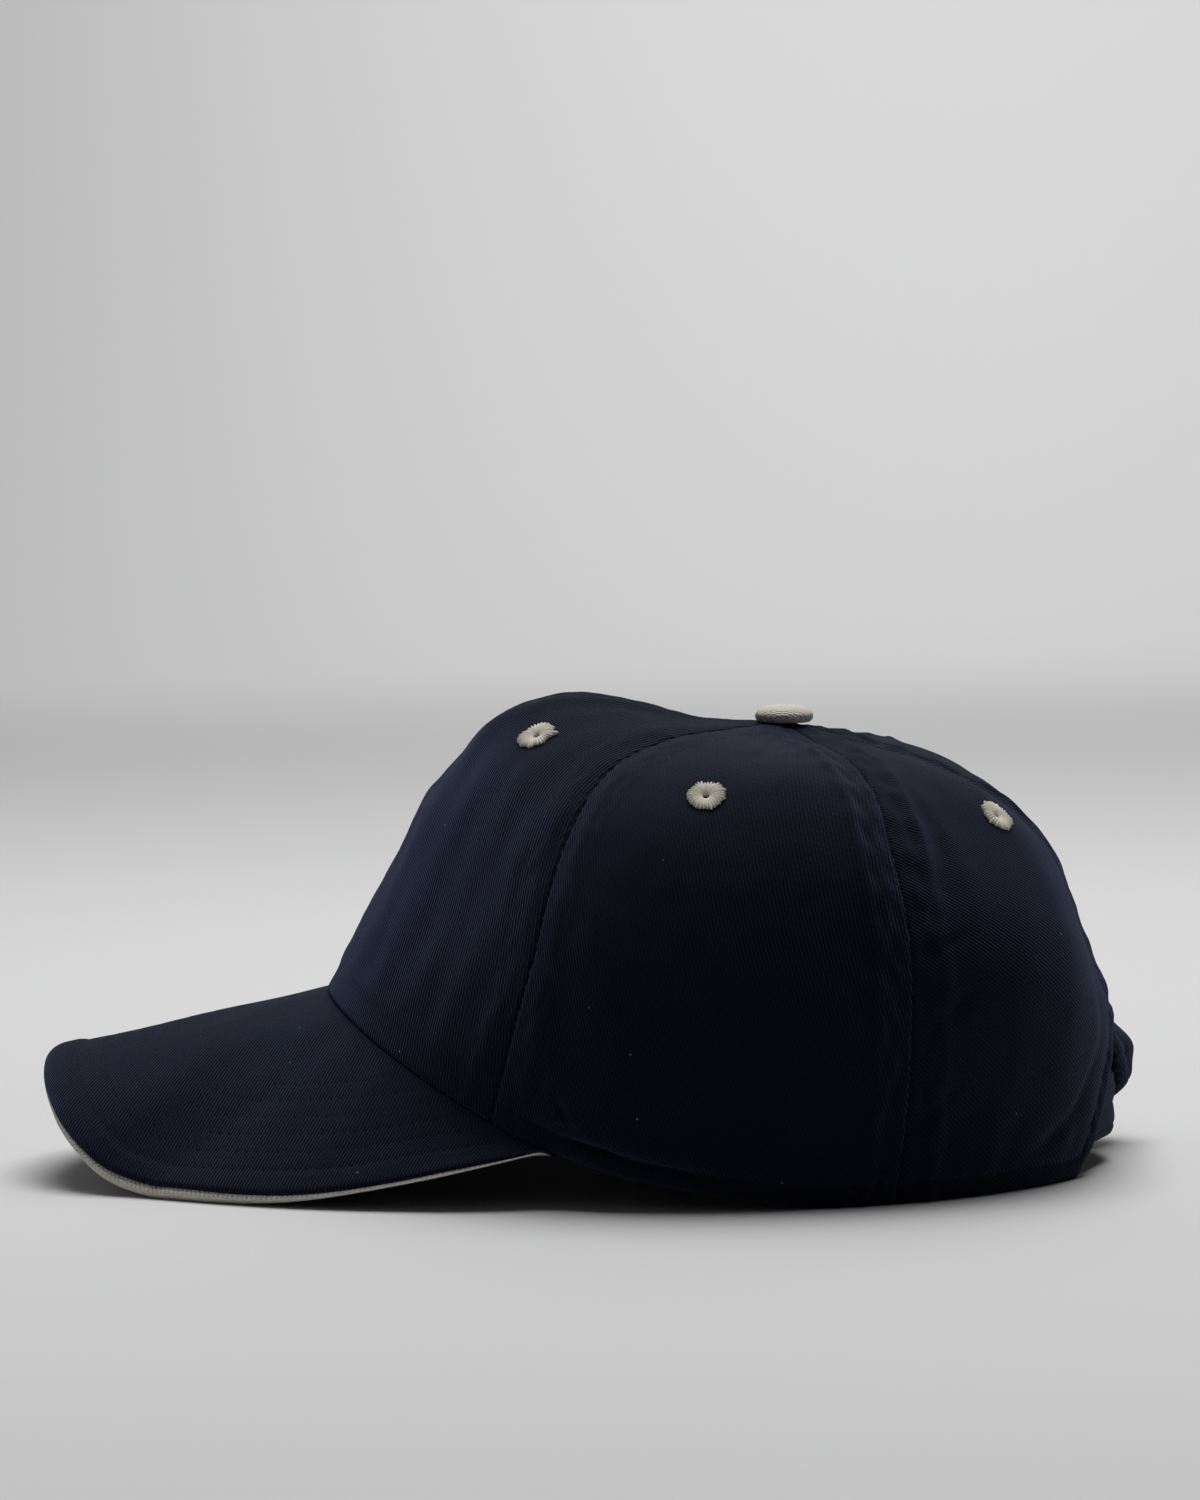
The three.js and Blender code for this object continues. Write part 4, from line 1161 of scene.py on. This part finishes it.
def edging_piece():
    peak = Peak(4 * PEAK_STATIONS)
    arc = from_middle(peak.edge)
    half = (peak.edging_high - peak.edging_low) / 2
    middle = (peak.edging_low + peak.edging_high) / 2
    nose = EDGING_PROUD * (1 - np.sin(np.linspace(0, np.pi / 2, EDGING_NOSE_STEPS)))
    body = np.linspace(EDGING_DEPTH, EDGING_PROUD, EDGING_BODY_STEPS, endpoint=False)
    sides = []
    for sign in (1, -1):
        for distance in (*body, *nose):
            beyond = max(0, 1 - distance / EDGING_PROUD)
            swell = max(EDGING_TIP, (1 - beyond**EDGING_FULLNESS) ** (1 / EDGING_FULLNESS))
            round_nose = sign * (half * EDGING_SWELL * swell + max(0, distance - EDGING_PROUD))
            cord = np.abs(np.sin(np.pi * (arc + EDGING_LEAN * round_nose) / EDGING_RIB_PITCH))
            rib = EDGING_RIB * peak.full * (cord**0.6 - 0.7)
            lumps = EDGING_UNEVEN * waves(arc, np.full_like(arc, distance), 9, 15)
            height = middle + sign * swell * (half * (EDGING_SWELL + lumps) + rib)
            points = peak.at(peak.from_edge(distance), height)
            sides.append(np.concatenate([points, np.stack([arc, round_nose], -1)], -1))
    outer, inner = np.stack(sides, 1).reshape(len(arc), 2, -1, 5).swapaxes(0, 1)
    flat = np.stack([outer[..., 3:], inner[..., 3:]])
    piece = shell_piece("twill_edging", outer[..., :3], inner[..., :3], cream_edging, flat)
    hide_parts("peak_edging")


def peak_stitches(name, reach, top):
    peak = Peak(PEAK_STATIONS * 2, reach)
    face, sign = (peak.top, 1) if top else (peak.bottom, -1)
    arc = from_middle(peak.edge)
    rows = []
    for row in STITCH_ROWS:
        share = peak.from_edge(row)
        clear = share * peak.width > 3
        lift = row_relief(np.full_like(arc, row), arc) + ROW_LIFT
        path = peak.at(np.clip(share, 0, 1), face + sign * lift)[clear]
        path, outs = (
            np.stack(evenly(path, ROW_PITCH, values.T), -1) for values in (path, sign * peak.up[clear]))
        rows.append(stitch_row(path, outs, ROW_SHARE))
    stitches_piece(name, rows, ROW_RADIUS, ROW_HUMP)


edging_piece()
peak_cover("cloth_peak_top", "peak_top_cover", 1.0, TOP_SETBACK, navy_peak, True)
peak_cover("cloth_peak_under", "peak_under_cover", UNDER_REACH, LOW_SETBACK, navy_peak, False)
peak_stitches("peak_top_stitches", 1.0, True)
peak_stitches("peak_under_stitches", UNDER_REACH, False)

# Floor, backdrop, light and camera

FLOOR_NEAR = 3.0
FLOOR_FAR = -2.6
SWEEP_RADIUS = 1.2
SWEEP_HEIGHT = 4.0
SWEEP_HALF_WIDTH = 5.0
SWEEP_STEPS = 24
PAPER_DARK = (0.68, 0.68, 0.68)
PAPER_LIGHT = (0.70, 0.70, 0.70)


def sweep():
    profile = [(FLOOR_NEAR, 0.0)]
    for step in range(SWEEP_STEPS + 1):
        turn = math.pi / 2 * step / SWEEP_STEPS
        profile.append((FLOOR_FAR - SWEEP_RADIUS * math.sin(turn), SWEEP_RADIUS * (1 - math.cos(turn))))
    profile.append((FLOOR_FAR - SWEEP_RADIUS, SWEEP_HEIGHT))
    points = [(x, side * SWEEP_HALF_WIDTH, z) for x, z in profile for side in (-1, 1)]
    faces = [(2 * i, 2 * i + 1, 2 * i + 3, 2 * i + 2) for i in range(len(profile) - 1)]
    mesh = bpy.data.meshes.new("backdrop")
    mesh.from_pydata(points, [], faces)
    mesh.shade_smooth()
    shader = Shader("backdrop_paper")
    place = shader.node("ShaderNodeTexCoord").outputs["Object"]
    grain = shader.noise(place, 900.0, 3.0)
    colour = shader.blend(grain, opaque(PAPER_DARK), opaque(PAPER_LIGHT))
    mesh.materials.append(shader.finish(colour, grain, 0.00002, 0.8, 0.0, (1, 1, 1, 1)))
    placed("backdrop", mesh)


sweep()

# Lamps: name, place, target, size and power
LIGHTS = (
    ("over", (-0.26, 0.12, 1.6), (0, 0.05, 0), 1.2, 24.0),
    ("front", (-0.9, -1.4, 0.9), (0, -0.1, 0), 0.9, 2.6),
    ("rear", (-1.1, 0.1, 1.2), (0, 0, 0.08), 0.8, 3.2),
    ("backdrop", (-2.45, 0.0, 1.9), (-3.7, 0, 0.9), 1.5, 33.0),
)

for name, place, target, size, power in LIGHTS:
    data = bpy.data.lights.new(name, "AREA")
    data.energy, data.size, data.shape = power, size, "SQUARE"
    lamp = placed(name, data)
    lamp.location = place
    lamp.rotation_mode = "QUATERNION"
    lamp.rotation_quaternion = (Vector(target) - Vector(place)).to_track_quat("-Z", "Y")

SKY = (0.95, 0.97, 1.0)
SKY_STRENGTH = 0.055
world = bpy.data.worlds.new("studio")
bpy.context.scene.world = world
world.use_nodes = True
sky = world.node_tree.nodes["Background"].inputs
sky["Color"].default_value = opaque(SKY)
sky["Strength"].default_value = SKY_STRENGTH
bpy.context.scene.view_settings.view_transform = "Standard"

CAMERA_DISTANCE = 1.2
CAMERA_TARGET = (0, -29.7, 103.8)
CAMERA_AZIMUTH = 96.0
CAMERA_ELEVATION = 3.7
CAMERA_ROLL = -1.25
CAMERA_LENS = 115.2
CAMERA_SENSOR = 36


def camera():
    data = bpy.data.cameras.new("camera")
    data.lens, data.sensor_width, data.clip_end = CAMERA_LENS, CAMERA_SENSOR, 50
    turned = Matrix.Translation(to_row(CAMERA_TARGET))
    for angle, axis in ((CAMERA_AZIMUTH, "Z"), (90 - CAMERA_ELEVATION, "X"), (CAMERA_ROLL, "Z")):
        turned = turned @ Matrix.Rotation(math.radians(angle), 4, axis)
    made = placed("camera", data)
    made.matrix_world = turned @ Matrix.Translation((0, 0, CAMERA_DISTANCE))
    bpy.context.scene.camera = made


camera()
